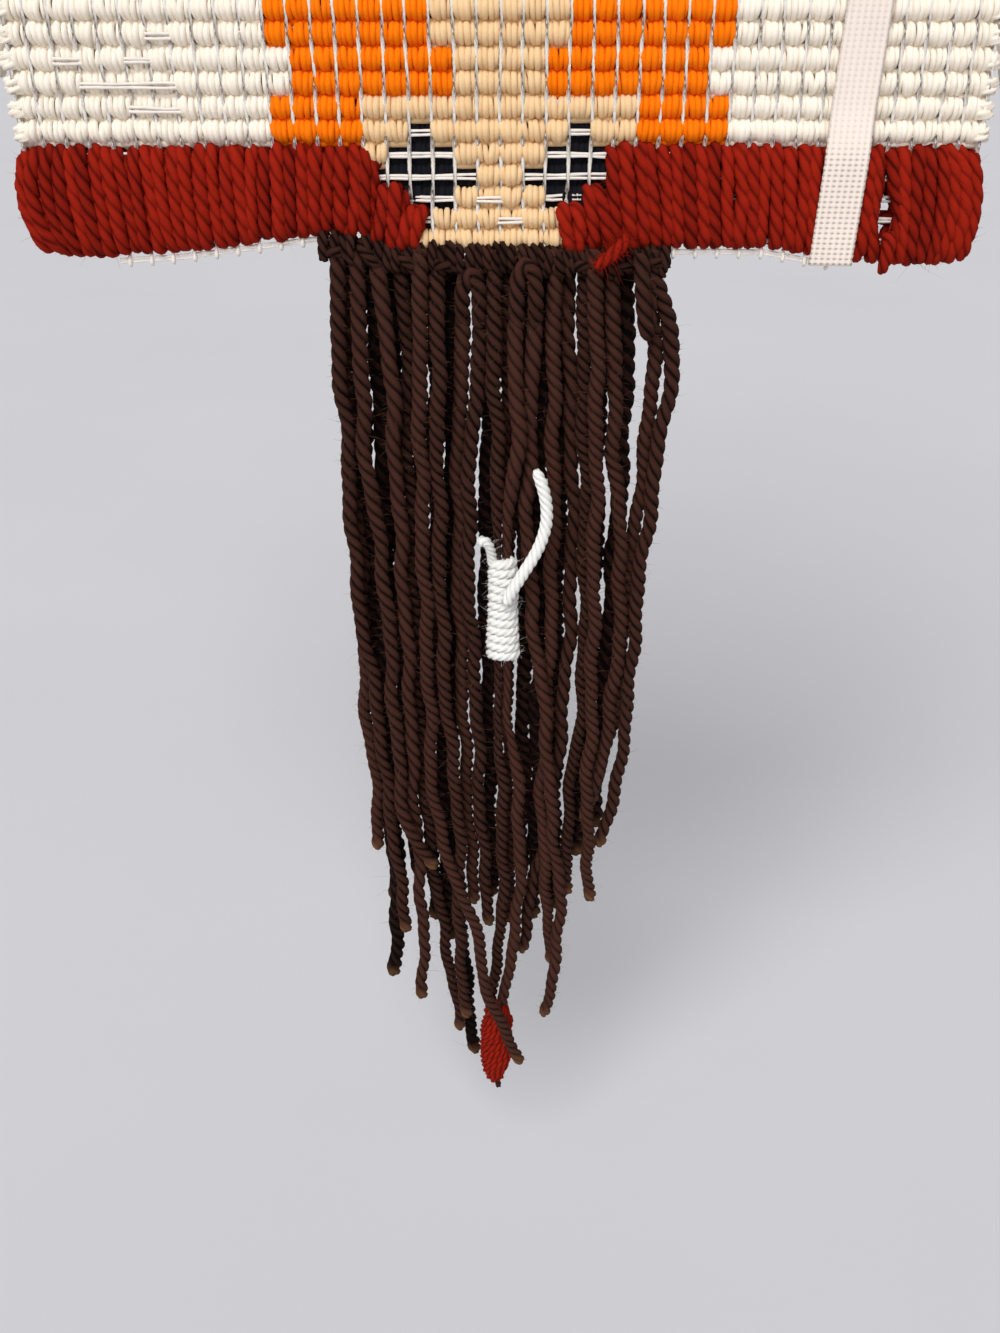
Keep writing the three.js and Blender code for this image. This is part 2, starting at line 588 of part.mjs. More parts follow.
const tip = cloth('tip_wrap', tipWrapGeometry(), COLOURS.red);
tip.position.set(BULB.x, BULB.y, 0);
fringe.add(tip);
hanging.add(fringe);

export default hanging;
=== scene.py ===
"""A latch hook wall hanging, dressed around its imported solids.

It hangs by its top edge, is seen from its canvas side, and ends in a long yarn fringe.
"""

import math

import bpy
import numpy as np
from bpy.props import FloatProperty, FloatVectorProperty, IntProperty, PointerProperty
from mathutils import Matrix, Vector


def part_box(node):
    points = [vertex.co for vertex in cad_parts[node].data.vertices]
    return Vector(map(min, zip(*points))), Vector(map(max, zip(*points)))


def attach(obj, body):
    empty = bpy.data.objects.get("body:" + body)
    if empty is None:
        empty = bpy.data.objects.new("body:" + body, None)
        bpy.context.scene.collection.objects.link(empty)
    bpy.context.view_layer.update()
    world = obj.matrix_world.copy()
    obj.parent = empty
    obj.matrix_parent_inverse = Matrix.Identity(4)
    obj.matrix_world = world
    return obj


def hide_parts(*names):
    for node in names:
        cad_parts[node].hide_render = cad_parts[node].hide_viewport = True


bl_info = {
    "name": "Latch Hook Wall Hanging",
    "version": (1, 0, 0),
    "blender": (4, 5, 0),
    "location": "3D Viewport > Sidebar > Hanging",
    "description": "Knotted canvas, pile, whipped hem, fringe and wound ties of a wall hanging",
    "category": "Object",
}

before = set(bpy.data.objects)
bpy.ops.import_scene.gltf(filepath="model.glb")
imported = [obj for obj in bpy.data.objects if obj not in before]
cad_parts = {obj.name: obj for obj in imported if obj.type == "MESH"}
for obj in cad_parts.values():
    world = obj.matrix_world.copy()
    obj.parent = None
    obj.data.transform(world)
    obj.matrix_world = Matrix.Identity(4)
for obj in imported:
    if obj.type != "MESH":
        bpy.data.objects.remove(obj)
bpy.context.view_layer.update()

MM = 0.001
TAU = 2 * math.pi
BODY = "root"

# The photo's view: the camera's place, its tilt in degrees, its focal length and the picture's height in
# pixels, and the height of the sensor in mm
CAMERA_PLACE = (0, -0.4073, -0.2413)
CAMERA_TILT = 28.97
FOCAL_PX = 1250
TALL_PX = 1333
SENSOR_MM = 36

# The soft light: where it heads, how wide its source is in degrees, its strength, and the room's own light
SUN_HEADING = (0.2, 0.68, -0.71)
SUN_WIDE = 40
SUN_STRENGTH = 2.8
ROOM_TINT = (0.80, 0.82, 0.85)
ROOM_STRENGTH = 0.42

# The floor lies below the hanging's lowest end and reaches far past the view
FLOOR_BELOW = 0.06
FLOOR_REACH = 60

# The hung canvas, from the frame
CANVAS_LOW, CANVAS_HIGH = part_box("canvas")
HALF = (CANVAS_HIGH[0] - CANVAS_LOW[0]) / 2
BOTTOM = CANVAS_LOW[2]
COLUMNS = 42
FIELD_ROWS = 44
HEM_ROWS = 5
ROW = 6.5 * MM
HEM_ROW = 6.2 * MM
FIELD_BOTTOM = -FIELD_ROWS * ROW
COLUMN = 2 * HALF / COLUMNS

# The canvas's lower corners are cut off slantwise: how far across each begins, and its rise
CORNER_FROM = 127 * MM
CORNER_RISE = 1.3

# How the hung panel bends: its sides come forward, and a slow ripple grows downwards
SIDES_FORWARD = 4 * MM
RIPPLE = 1.2 * MM
RIPPLE_LENGTH = 190 * MM

# The whipped hem: its inner ends, the steps above them, its outer end, half its thickness, the distance
# from stitch to stitch, and how far below the field the tops of the two steps lie
WHIP_INNER = {"left": -23.4 * MM, "right": 18.8 * MM}
WHIP_STEP = {"left": -37 * MM, "right": 34.5 * MM}
WHIP_OUTER = 146.6 * MM
WHIP_HALF = 6.4 * MM
WHIP_STITCH = 3.7 * MM
WHIP_STEP_TOPS = (11 * MM, 17 * MM)

# How far below the field the canvas passes from behind the step to behind the inner end, and the length
# over which the hem's outer ends round off
WHIP_STEP_DOWN = 13.5 * MM
WHIP_ROUNDS = 13 * MM

# The lower edge of the whipped hem, and how far its stitches slant: places across and values, in mm
WHIP_EDGE = (
    (-150, -317.8), (-120, -318.8), (-100, -317.6), (-76, -314.6), (-54, -311.8),
    (-42, -313.2), (-30, -316.8), (0, -316.5), (30, -318.2), (48, -316.6),
    (66, -316.3), (83, -316.4), (100, -319.2), (120, -320.8), (150, -319.8),
)
WHIP_SLANT = (
    (-150, -0.6), (-120, -0.8), (-60, 0.8), (-30, 1.6), (30, -1.6), (60, -1.2), (120, -0.8), (150, -1.0),
)

# Where the whipping stitches stand apart: across, height, and half its size down and across, in mm
WHIP_GAPS = ((118, -306.5, 5.5, 4.5), (72, -302, 4, 1.9), (-70, -300, 7, 1.6))

# Loose red lengths, in mm: the frayed end beside the fringe, and a stitch that hangs under the gap
FRAYED_END = (
    (39.0, -6.5, -312.5), (37.0, -8.8, -314.6), (34.4, -9.5, -316.8), (31.8, -9.7, -318.8),
    (29.4, -9.8, -320.4),
)
SLACK_STITCH = (
    (118.6, -9.0, -311.0), (118.9, -10.8, -313.0), (118.6, -11.4, -316.5), (118.1, -11.0, -320.0),
    (117.9, -9.8, -321.6),
)

# Yarn cross sections: angles round one ply, with the share of the radius there
PLY_FULL = ((-24, 0.93), (0, 1.0), (24, 0.93), (45, 0.66))
PLY_SOFT = ((-24, 0.96), (0, 1.0), (24, 0.96), (45, 0.78))
PLY_FINE = ((-17, 0.975), (17, 0.975), (45, 0.66))
PLY_COARSE = ((0, 1.0), (45, 0.66))
PLY_PILE = ((0, 1.0), (45, 0.74))
ROUND = ((0, 1.0),)
THREAD = ((0, 1.0), (45, 1.0))
THREAD_PAIR = ((-30, 1.0), (30, 1.0), (90, 0.78))

# Radii of the canvas's threads, and where its lower edge shows under the hem, from and to across, in mm
UPRIGHT = 0.64 * MM
CROSSING_THREAD = 0.48 * MM
SELVEDGE = 0.36 * MM
SELVEDGE_SHOWS = ((-119, -50), (50, 103))

# The length of one full turn of the plies, which twist like the letter S
TWIST = {
    "loop": -48 * MM, "edge": -18 * MM, "upright": -30 * MM, "crossing": -50 * MM, "selvedge": -20 * MM,
    "pile": -70 * MM, "whipping": -16 * MM, "loose": -11 * MM, "knot": -10 * MM, "bar": -13 * MM,
    "winding": -9 * MM, "tail": -12 * MM,
}

# One loop of a knot's back from its top down: its depth and its height from the top of its row, in mm, how
# far it keeps from the cell's middle, as a factor, and the shade painted on it, most where it turns under
# its roll. Coarse loops skip places.
LOOP_DEPTH = (0.2, -1.7, -2.9, -3.4, -3.2, -2.4, -1.3, -0.6)
LOOP_DOWN = (-0.6, -0.5, -1.3, -2.5, -3.7, -4.7, -5.3, -6.3)
LOOP_DRAWN = (1.04, 1.04, 1.03, 1, 0.95, 0.89, 0.83, 0.77)
LOOP_PAINTED_SHADE = (0.3, 0, 0, 0, 0.1, 0.35, 0.8, 1.0)
COARSE = [0, 2, 4, 6]

# The yarn round a side edge of the field: its places outside the edge and its depths, in mm
EDGE_TURN = ((-3.2, -1.6), (-1.9, -2.9), (-0.1, -2.5), (1.1, -1.0), (1.3, 0.7), (-0.4, 2.0))

# Cells, as column and row, whose yarn was pulled through tightly, so that the canvas shows in front of it
OPEN_CELLS = {
    (3, 41), (4, 41), (5, 41), (6, 41), (2, 40), (5, 40), (6, 39), (5, 42), (6, 42), (20, 46), (21, 47),
}

# One row for each strand: its depth, its place across at drops of 0, 25, 60, 110, 160, 210
# and 260 mm below the roots, and the place and drop of its end. Bound ones run through the tie,
# and the crossing one passes in front of the others near its end.
DROPS = (0, 25, 60, 110, 160, 210, 260)
STRANDS = (
    (-4, (-50.6, -51.8, -51.1, -50.8, -46.0, -43.0, -39.5), -38.7, 268, False),
    (3, (-49.4, -50.7, -51.7, -49.5, -51.2, -48.2), -50.1, 230, False),
    (-6, (-44.8, -44.9, -44.8, -40.5, -39.4, -35.8), -26.6, 233, False),
    (5, (-40.4, -39.9, -40.1, -40.9, -43.8, -42.5, -42.9), -46.2, 300, False),
    (-5, (-38.4, -35.9, -35.1, -34.2, -33.4, -34.1, -31.8), -33.2, 304, False),
    (1, (-31.7, -30.1, -31.4, -31.4, -31.3, -29.3, -25.0), -17.3, 328, False),
    (-6, (-24.1, -25.8, -26.1, -26.0, -26.1, -24.6, -10.0), 9.2, 329, False),
    (-6, (-21.0, -20.0, -21.2, -21.6, -19.8, -16.2, -17.2), -14.7, 314, False),
    (5, (-15.9, -16.1, -16.8, -17.8, -18.7, -18.6, -17.3), -11.8, 346, False),
    (1, (-11.7, -12.4, -13.9, -14.6, -14.0, -12.5), -10.4, 257, False),
    (-2, (-8.0, -6.1, -10.2, -11.4, -8.7, -7.7), -4.2, 266, False),
    (-4, (-2.5, -2.1, -0.9, -0.7, 0.0, 1.0, 0.8), -3.4, 306.7, True),
    (4, (2.3, 2.3, 2.5, 2.9, 2.9, 3.3, 4.0), 4.7, 270, False),
    (-5, (7.6, 4.6, 6.3, 2.9, 4.0, 7.5, 7.2), 0.4, 306.7, True),
    (-3, (11.9, 10.9, 9.5, 10.6, 16.7, 20.1, 24.9), 19.7, 316, False),
    (5, (15.4, 16.1, 13.8, 14.7, 14.5, 14.8), 14.0, 269, False),
    (0, (17.2, 17.3, 18.4, 18.7, 17.9, 17.4, 19.3), 22.3, 290, False),
    (3, (22.3, 22.7, 25.0, 26.1, 24.1, 19.6, 12.5), 9.4, 285, False),
    (1, (26.0, 26.8, 28.5, 30.4, 31.2, 27.1), 28.2, 252, False),
    (-6, (29.4, 31.1, 32.4, 33.2, 34.2, 34.1), 36.8, 250, False),
    (-3, (35.2, 37.0, 38.7, 43.1, 41.9, 37.0), 34.1, 213, False),
    (1, (44.2, 50.5, 49.7, 46.5, 43.9, 38.0), 35.8, 207, False),
    (-2, (47.4, 56.1, 53.3, 49.3, 47.7, 44.3), 39.0, 225, False),
    (7, (-46.0, -46.5, -47.0, -46.5, -46.0, -45.0), -43.0, 262, False),
    (7, (-35.0, -35.5, -36.0, -36.5, -37.0, -36.0), -34.0, 248, False),
    (7, (-28.0, -27.5, -28.0, -28.5, -29.0, -28.0), -27.0, 270, False),
    (7, (-20.0, -20.5, -22.0, -23.0, -23.0, -22.0), -21.0, 281, False),
    (7, (-5.0, -4.5, -4.0, -5.0, -4.5, -4.0), -3.0, 258, False),
    (8, (9.5, 9.0, 8.5, 8.5, 9.0, 10.0), 9.0, 246, False),
    (7, (20.5, 20.5, 21.5, 21.0, 21.0, 22.0), 23.0, 264, False),
    (7, (32.5, 33.0, 33.5, 34.5, 35.0, 33.0), 31.0, 236, False),
    (6, (40.0, 41.5, 42.0, 41.0, 39.0, 37.0), 37.0, 221, False),
)

# The row of the crossing strand, how far it comes forward, and its kink to the left near its end
CROSSING = 6
COMES_FORWARD = 12.0
KINK = {"aside": 4.5, "drop": 297, "long": 17}

# Lengths that are folded in front of the knots: the rows of their two legs and the top of the fold, the
# height at which the legs begin, and the loop that hangs slack at the right
ARCHES = ((9, 10, -323.0), (13, 14, -320.3))
LEGS_Z = -338
SLACK_LOOP = (
    (44.0, -5.0, -317), (45.0, -7.0, -330), (47.0, -6.5, -342), (47.6, -3.5, -335), (47.0, -1, -320),
)

# A strand's radius, the distance between the places where strands are parted, how far apart they then
# are, where they leave the canvas, and the strip of knots along it
STRAND_RADIUS = 2.75
SECTION = 20.0
APART = 5.75
ROOT_Z = -322.3
KNOT_STRIP = (-54.0, 51.0)
FRINGE_KNOTS = 19

# The knots' height where the hem's edge is at its usual level, and their share of its rise and fall
KNOT_HEIGHT = -317.4
EDGE_LEVEL = -316.5
EDGE_SHARE = 0.9

# From this depth on a strand lies behind the others, and is made thicker and with fewer faces, and painted
# darker as shade
BEHIND = 5
BEHIND_THICKER = 1.22
BEHIND_PAINTED_SHADE = 6

# The yarn of one fringe knot over the canvas edge, and a bar that crosses it, from the knot's middle
OVER_EDGE = (
    (0.2, -3.4, -5.4), (0, -4.5, -2.6), (0, -4.2, 0.2), (0, -2.2, 2.5), (0, 0.6, 2.9), (0, 3.2, 0),
    (0, 3.4, -4.5),
)
BAR = ((-2.6, -0.8, -3.8), (-2.0, -4.2, -3.0), (0, -5.2, -2.4), (2.0, -4.2, -3.0), (2.6, -0.8, -3.8))

# The tie in mm: its place and size, its turns, the radius of their yarn, how far they lean at the sides,
# how unevenly they lie, how its width changes from its bottom to its top, and its short first end
TIE = {
    "x": 1.0, "y": -5.0, "top": -419.5, "bottom": -462.0, "wide": 5.9, "deep": 4.9,
    "turns": 12, "yarn": 1.85, "lean": -0.9, "uneven": 0.22,
}
TIE_SHARE = (0, 0.12, 0.3, 0.5, 0.75, 1)
TIE_SWELL = (0.94, 1.05, 1.06, 0.97, 0.93, 0.88)
TIE_STUB = (
    (-2.6, -5, -423), (-3.0, -6.6, -418), (-3.9, -8.2, -414.2), (-5.6, -8.9, -412.4), (-7.2, -8.8, -413.6),
)

# The two strands in the tie: their radius there, how far each lies from the middle, and the length over
# which they come together
BOUND_RADIUS = 1.55
BOUND_SPREAD = 1.75
BOUND_EASE = 16.0

# The tie's free end, from the winding to its tip, in mm
TAIL_ROUTE = (
    (2.2, -11.85, -434.5),
    (4.6, -12.9, -429.0),
    (8.2, -13.1, -422.5),
    (11.6, -13.1, -416.5),
    (14.2, -13.0, -410.5),
    (15.7, -12.9, -404.0),
    (15.6, -12.8, -397.5),
    (14.2, -12.7, -391.0),
    (11.9, -12.6, -385.2),
)

# The tip winding in the same way, its radius from its top to its bottom, and the brown end below it
BULB = {
    "x": -1.7, "y": -5.0, "top": -629.5, "bottom": -678.0,
    "turns": 12, "yarn": 2.15, "lean": 1.9, "uneven": 0.4,
}
BULB_DOWN = (0, 0.1, 0.3, 0.55, 0.75, 0.9, 1)
BULB_RADIUS = (4.2, 6.0, 7.4, 7.7, 6.5, 4.0, 2.0)
TIP_END = ((-1.4, -5.2, -670), (-1.1, -5.4, -676), (-0.6, -5.6, -679.8))

# Points to one turn of a winding
TURN_STEPS = 22

# The tape: its middle across, its width, its ends, and where it lies over the knots and the hem
TAPE_X = 109 * MM
TAPE_WIDE = 12.8 * MM
TAPE_LEAN = 7 * MM
TAPE_TOP = -3 * MM
TAPE_END = -320 * MM
TAPE_THICK = 1 * MM
TAPE_ON_KNOTS = 4.75 * MM
TAPE_ON_WHIP = 6.6 * MM

# The tape's weave, in mm: from cord to cord, and from rung to rung. Between two heights its openings, and
# the shade painted in them, grow from a first share to a second, over the hem, where darker yarn lies
# behind.
TAPE_CORD = 1.85
TAPE_RUNG = 1.5
TAPE_OPENINGS_GROW = (-284, -290, 0.3, 1)

# UV units to a metre of yarn, and the usual length of a loose fibre
UV_SCALE = 100
FIBRE = 1.5 * MM


# Surfaces that the pieces share


def bend(x, z):
    """How far the hung panel's middle lies from the plane y = 0."""
    down = np.clip(z / BOTTOM, 0, 1)
    forward = SIDES_FORWARD * (x / HALF) ** 2 * (0.35 + 0.65 * down)
    return RIPPLE * down * np.sin(TAU * x / RIPPLE_LENGTH) - forward


def whip_edge(x):
    """The lower edge of the whipped hem."""
    return np.interp(x / MM, *zip(*WHIP_EDGE)) * MM


def smoothstep(v, low, high):
    """0 up to the low value, 1 from the high one, and smooth between them."""
    t = np.clip((v - low) / (high - low), 0, 1)
    return t * t * (3 - 2 * t)


def design(column, row):
    """The yarn of a cell: a plain banded pattern of cream, orange, tan and black diamonds."""
    across = abs(column - (COLUMNS - 1) / 2)
    repeat = 12
    from_diamond = abs(row - 45 + repeat * round((45 - row) / repeat))
    wave = (0, 1, 2, 1)[(row // 2) % 4]
    if abs(across - 3.5) + from_diamond <= 2:
        return "black"
    if across < 2 + wave or from_diamond < 4 and across < 6:
        return "tan"
    if across < 9.5 + wave / 2:
        return "orange"
    return "cream"


def cells():
    """Every knotted cell: (column, row, its middle across, the top of its row, its row's pitch)."""
    for row in range(FIELD_ROWS + HEM_ROWS):
        hem = row >= FIELD_ROWS
        pitch = HEM_ROW if hem else ROW
        top = FIELD_BOTTOM - (row - FIELD_ROWS) * HEM_ROW if hem else -row * ROW
        for column in range(COLUMNS):
            x = (column + 0.5) * COLUMN - HALF
            share = np.clip((row - FIELD_ROWS - 1) / 2, 0, 1)
            left = WHIP_STEP["left"] + (WHIP_INNER["left"] - WHIP_STEP["left"]) * share
            right = WHIP_STEP["right"] + (WHIP_INNER["right"] - WHIP_STEP["right"]) * share
            if not hem or left - 0.5 * COLUMN < x < right + 0.3 * COLUMN:
                yield column, row, x, top, pitch


# Making yarn and cloth meshes


def sweep(paths, radius, ply, pitch, phase=None, ref=(1, 0, 0), flat=1.0, plies=4, closed=False, caps=True):
    """Plied yarn along many paths of equal length: points, faces with their uvs, and the shade to paint in
    the grooves between plies.

    paths is (tubes, rings, 3), radius fits (tubes, rings), and ref is a direction that no path
    runs along. A pitch below zero twists like the letter S.
    """
    paths = np.asarray(paths, float)
    tubes, rings = paths.shape[:2]
    if closed:
        tangent = np.roll(paths, -1, 1) - np.roll(paths, 1, 1)
        steps = np.linalg.norm(np.roll(paths, -1, 1) - paths, axis=2)
        along = np.cumsum(steps, 1) - steps
    else:
        tangent = np.gradient(paths, axis=1)
        steps = np.linalg.norm(np.diff(paths, axis=1), axis=2)
        along = np.concatenate([np.zeros((tubes, 1)), np.cumsum(steps, 1)], 1)
    tangent /= np.linalg.norm(tangent, axis=2, keepdims=True)
    ref = np.broadcast_to(np.asarray(ref, float), paths.shape)
    side = ref - (ref * tangent).sum(2, keepdims=True) * tangent
    side /= np.linalg.norm(side, axis=2, keepdims=True)
    up = np.cross(tangent, side)

    turn = 360 / plies
    share = 90 / turn
    corners = [(q * turn + a / share, r) for q in range(plies) for a, r in ply]
    psi = np.radians([a for a, _ in corners])
    shape = np.array([r for _, r in corners])
    sides = len(corners)
    twist = TAU / pitch * along
    if closed:
        whole = np.sum(steps, 1, keepdims=True)
        plies_on = np.round(whole * plies / pitch)
        twist = along / whole * plies_on * TAU / plies
    phase = np.zeros(tubes) if phase is None else phase
    angle = phase[:, None, None] + twist[:, :, None] + psi
    reach = np.broadcast_to(radius, (tubes, rings))[:, :, None] * shape
    points = paths[:, :, None] + (reach * np.cos(angle) * flat)[..., None] * side[:, :, None]
    points = points + (reach * np.sin(angle))[..., None] * up[:, :, None]

    index = np.arange(tubes * rings * sides).reshape(tubes, rings, sides)
    here, there = index[:, :-1], index[:, 1:]
    if closed:
        here = index
        shift = plies_on[:, 0].astype(int) * len(ply)
        last = np.stack([np.roll(index[i, 0], -shift[i]) for i in range(tubes)])
        there = np.concatenate([index[:, 1:], last[:, None]], 1)
    quads = np.stack([here, np.roll(here, -1, 2), np.roll(there, -1, 2), there], -1).reshape(-1, 4)
    v = np.arange(sides) / sides
    v_next = v + 1 / sides
    u = along if closed else along[:, :-1]
    u_next = np.concatenate([along[:, 1:], whole], 1) if closed else along[:, 1:]
    shape_uv = (tubes, u.shape[1], sides)
    offset = np.arange(tubes)[:, None, None] * 0.37
    u_corners = [(a[:, :, None] + offset) * UV_SCALE for a in (u, u, u_next, u_next)]
    u4 = np.stack([np.broadcast_to(a, shape_uv) for a in u_corners], -1)
    v4 = np.stack([np.broadcast_to(a, shape_uv) for a in (v, v_next, v_next, v)], -1)
    faces = [quads]
    uvs = [np.stack([u4, v4], -1).reshape(-1, 2)]
    if caps and not closed:
        ends = np.concatenate([index[:, 0, ::-1], index[:, -1]])
        faces.append(ends)
        uvs.append(np.zeros((ends.size, 2)))
    # Painted shade: full in the grooves between plies, none on their crests
    groove = (1 - shape) / max(1 - min(shape), 1e-6)
    return {
        "points": points.reshape(-1, 3),
        "faces": faces,
        "uvs": uvs,
        "groove": np.broadcast_to(groove, (tubes, rings, sides)).reshape(-1),
        "tubes": tubes,
    }


def joined_mesh(name, parts, material, seed=1):
    """One object from the results of sweep() and grid(), with its uvs and shades."""
    rng = np.random.default_rng(seed)
    start = 0
    points, loops, totals, uvs, groove, tone, tip = [], [], [], [], [], [], []
    for part in parts:
        count = len(part["points"])
        points.append(part["points"])
        groove.append(part["groove"])
        # Each length's own random tone, less the shade painted on lengths that lie behind or under others
        shade = rng.normal(0, 1, part["tubes"]) - part.get("painted_shade", 0)
        tone.append(np.repeat(shade, count // part["tubes"]))
        tip.append(part.get("tip", np.zeros(count)))
        for faces, uv in zip(part["faces"], part["uvs"]):
            loops.append((faces + start).reshape(-1))
            totals.append(np.full(len(faces), faces.shape[1]))
            uvs.append(uv)
        start += count
    points, loops, totals, uvs = (np.concatenate(a) for a in (points, loops, totals, uvs))
    mesh = bpy.data.meshes.new(name)
    mesh.vertices.add(len(points))
    mesh.vertices.foreach_set("co", points.astype(np.float32).reshape(-1))
    mesh.loops.add(len(loops))
    mesh.loops.foreach_set("vertex_index", loops.astype(np.int32))
    mesh.polygons.add(len(totals))
    mesh.polygons.foreach_set("loop_start", (np.cumsum(totals) - totals).astype(np.int32))
    mesh.polygons.foreach_set("use_smooth", np.ones(len(totals), bool))
    mesh.uv_layers.new(name="lay").data.foreach_set("uv", uvs.astype(np.float32).reshape(-1))
    for label, values in (("groove", groove), ("tone", tone), ("tip", tip)):
        layer = mesh.attributes.new(label, "FLOAT", "POINT")
        layer.data.foreach_set("value", np.concatenate(values).astype(np.float32))
    mesh.update(calc_edges=True)
    mesh.validate()
    mesh.materials.append(material)
    piece = bpy.data.objects.new(name, mesh)
    bpy.context.scene.collection.objects.link(piece)
    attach(piece, BODY)
    return piece


def smooth_path(points, step):
    """A smooth line through points, with its own points a step apart."""
    points = np.asarray(points, float)
    padded = np.concatenate([[2 * points[0] - points[1]], points, [2 * points[-1] - points[-2]]])
    t = np.linspace(0, 1, 12, endpoint=False)[:, None]
    line = []
    for a, b, c, d in zip(padded, padded[1:], padded[2:], padded[3:]):
        straight = 2 * b + (c - a) * t
        line.append(0.5 * (straight + (2 * a - 5 * b + 4 * c - d) * t**2 + (3 * b - a - 3 * c + d) * t**3))
    line = np.concatenate([*line, points[-1:]])
    along = np.concatenate([[0], np.cumsum(np.linalg.norm(np.diff(line, axis=0), axis=1))])
    at = np.linspace(0, along[-1], max(2, round(along[-1] / step) + 1))
    return np.stack([np.interp(at, along, line[:, k]) for k in range(3)], 1)


def evenly(loops, count):
    """Closed loops with count points each, at equal distances along them."""
    steps = np.linalg.norm(np.roll(loops, -1, 1) - loops, axis=2)
    whole = np.concatenate([loops, loops[:, :1]], 1)
    spaced = []
    for loop, step in zip(whole, steps):
        along = np.concatenate([[0], np.cumsum(step)])
        at = np.linspace(0, along[-1], count, endpoint=False)
        spaced.append(np.stack([np.interp(at, along, loop[:, k]) for k in range(3)], 1))
    return np.array(spaced)


def hairs(name, parts, material, count, reach, seed, width=0.06 * MM):
    """Loose fibres that stand off the yarn's surface, as curled ribbons."""
    rng = np.random.default_rng(seed)
    points = np.concatenate([p["points"] for p in parts])
    middles = np.concatenate([p["middles"] for p in parts])
    pick = rng.integers(0, len(points), count)
    root = points[pick]
    out = root - middles[pick]
    out /= np.maximum(np.linalg.norm(out, axis=1, keepdims=True), 1e-9)
    lean = rng.normal(0, 1, (count, 3))
    curl = rng.normal(0, 1, (count, 3))
    reach = reach * rng.lognormal(0, 0.45, count)[:, None]
    across = np.cross(out, lean)
    across *= width / 2 / np.maximum(np.linalg.norm(across, axis=1, keepdims=True), 1e-9)
    spine = [root + reach * (0.8 * out * s + 0.35 * lean * s + 0.45 * curl * s * s) for s in (0, 0.5, 1)]
    spine = np.stack(spine, 1)
    taper = np.array([1, 0.85, 0.3])[:, None]
    pair = np.stack([spine - across[:, None] * taper, spine + across[:, None] * taper], 2)
    index = np.arange(count * 6).reshape(count, 3, 2)
    left, right = index[:, :, 0], index[:, :, 1]
    quads = np.stack([left[:, :-1], right[:, :-1], right[:, 1:], left[:, 1:]], -1).reshape(-1, 4)
    part = {
        "points": pair.reshape(-1, 3),
        "faces": [quads],
        "uvs": [np.zeros((quads.size, 2))],
        "groove": np.zeros(count * 6),
        "tubes": count,
    }
    return joined_mesh(name, [part], material, seed)


def with_middles(part, paths):
    """Adds the nearest point of its centre line to each surface point, for hairs()."""
    tubes, rings = np.asarray(paths).shape[:2]
    sides = len(part["points"]) // (tubes * rings)
    part["middles"] = np.repeat(np.asarray(paths).reshape(-1, 3), sides, 0)
    return part


# Materials


def linear(*srgb):
    """A colour given as it looks on screen, 0 to 255, as linear values."""
    values = np.array(srgb) / 255
    return tuple(np.where(values < 0.04045, values / 12.92, ((values + 0.055) / 1.055) ** 2.4))


def new_material(name):
    """A material with its nodes, its links and its one surface shader."""
    material = bpy.data.materials.new(name)
    material.use_nodes = True
    nodes = material.node_tree.nodes
    nodes.clear()
    output = nodes.new("ShaderNodeOutputMaterial")
    shader = nodes.new("ShaderNodeBsdfPrincipled")
    material.node_tree.links.new(shader.outputs["BSDF"], output.inputs["Surface"])
    return material, nodes, material.node_tree.links, shader


def math_node(nodes, links, operation, a, b=None, c=None):
    """The result of one sum, whose terms are numbers or sockets."""
    node = nodes.new("ShaderNodeMath")
    node.operation = operation
    for socket, value in zip(node.inputs, (a, b, c)):
        if value is None:
            continue
        if isinstance(value, (int, float)):
            socket.default_value = value
        else:
            links.new(value, socket)
    return node.outputs[0]


def noise_node(nodes, links, vector, scale, detail=2.0, rough=0.5):
    """A soft noise between 0 and 1."""
    node = nodes.new("ShaderNodeTexNoise")
    node.inputs["Scale"].default_value = scale
    node.inputs["Detail"].default_value = detail
    node.inputs["Roughness"].default_value = rough
    links.new(vector, node.inputs["Vector"])
    return node.outputs["Fac"]


def varied(nodes, links, shade, noise, amount):
    """A shade made lighter and darker by a noise."""
    around_zero = math_node(nodes, links, "SUBTRACT", noise, 0.5)
    return math_node(nodes, links, "MULTIPLY_ADD", around_zero, amount, shade)


def mixed(nodes, links, factor, first, second):
    """One colour that turns into another as the factor goes from 0 to 1. The first may be a socket."""
    mix = nodes.new("ShaderNodeMix")
    mix.data_type = "RGBA"
    mix.clamp_factor = True
    links.new(factor, mix.inputs["Factor"])
    if isinstance(first, tuple):
        mix.inputs["A"].default_value = (*first, 1)
    else:
        links.new(first, mix.inputs["A"])
    mix.inputs["B"].default_value = (*second, 1)
    return mix.outputs["Result"]


def named_value(nodes, name):
    """A value that the mesh carries at each of its points."""
    node = nodes.new("ShaderNodeAttribute")
    node.attribute_name = name
    return node.outputs["Fac"]


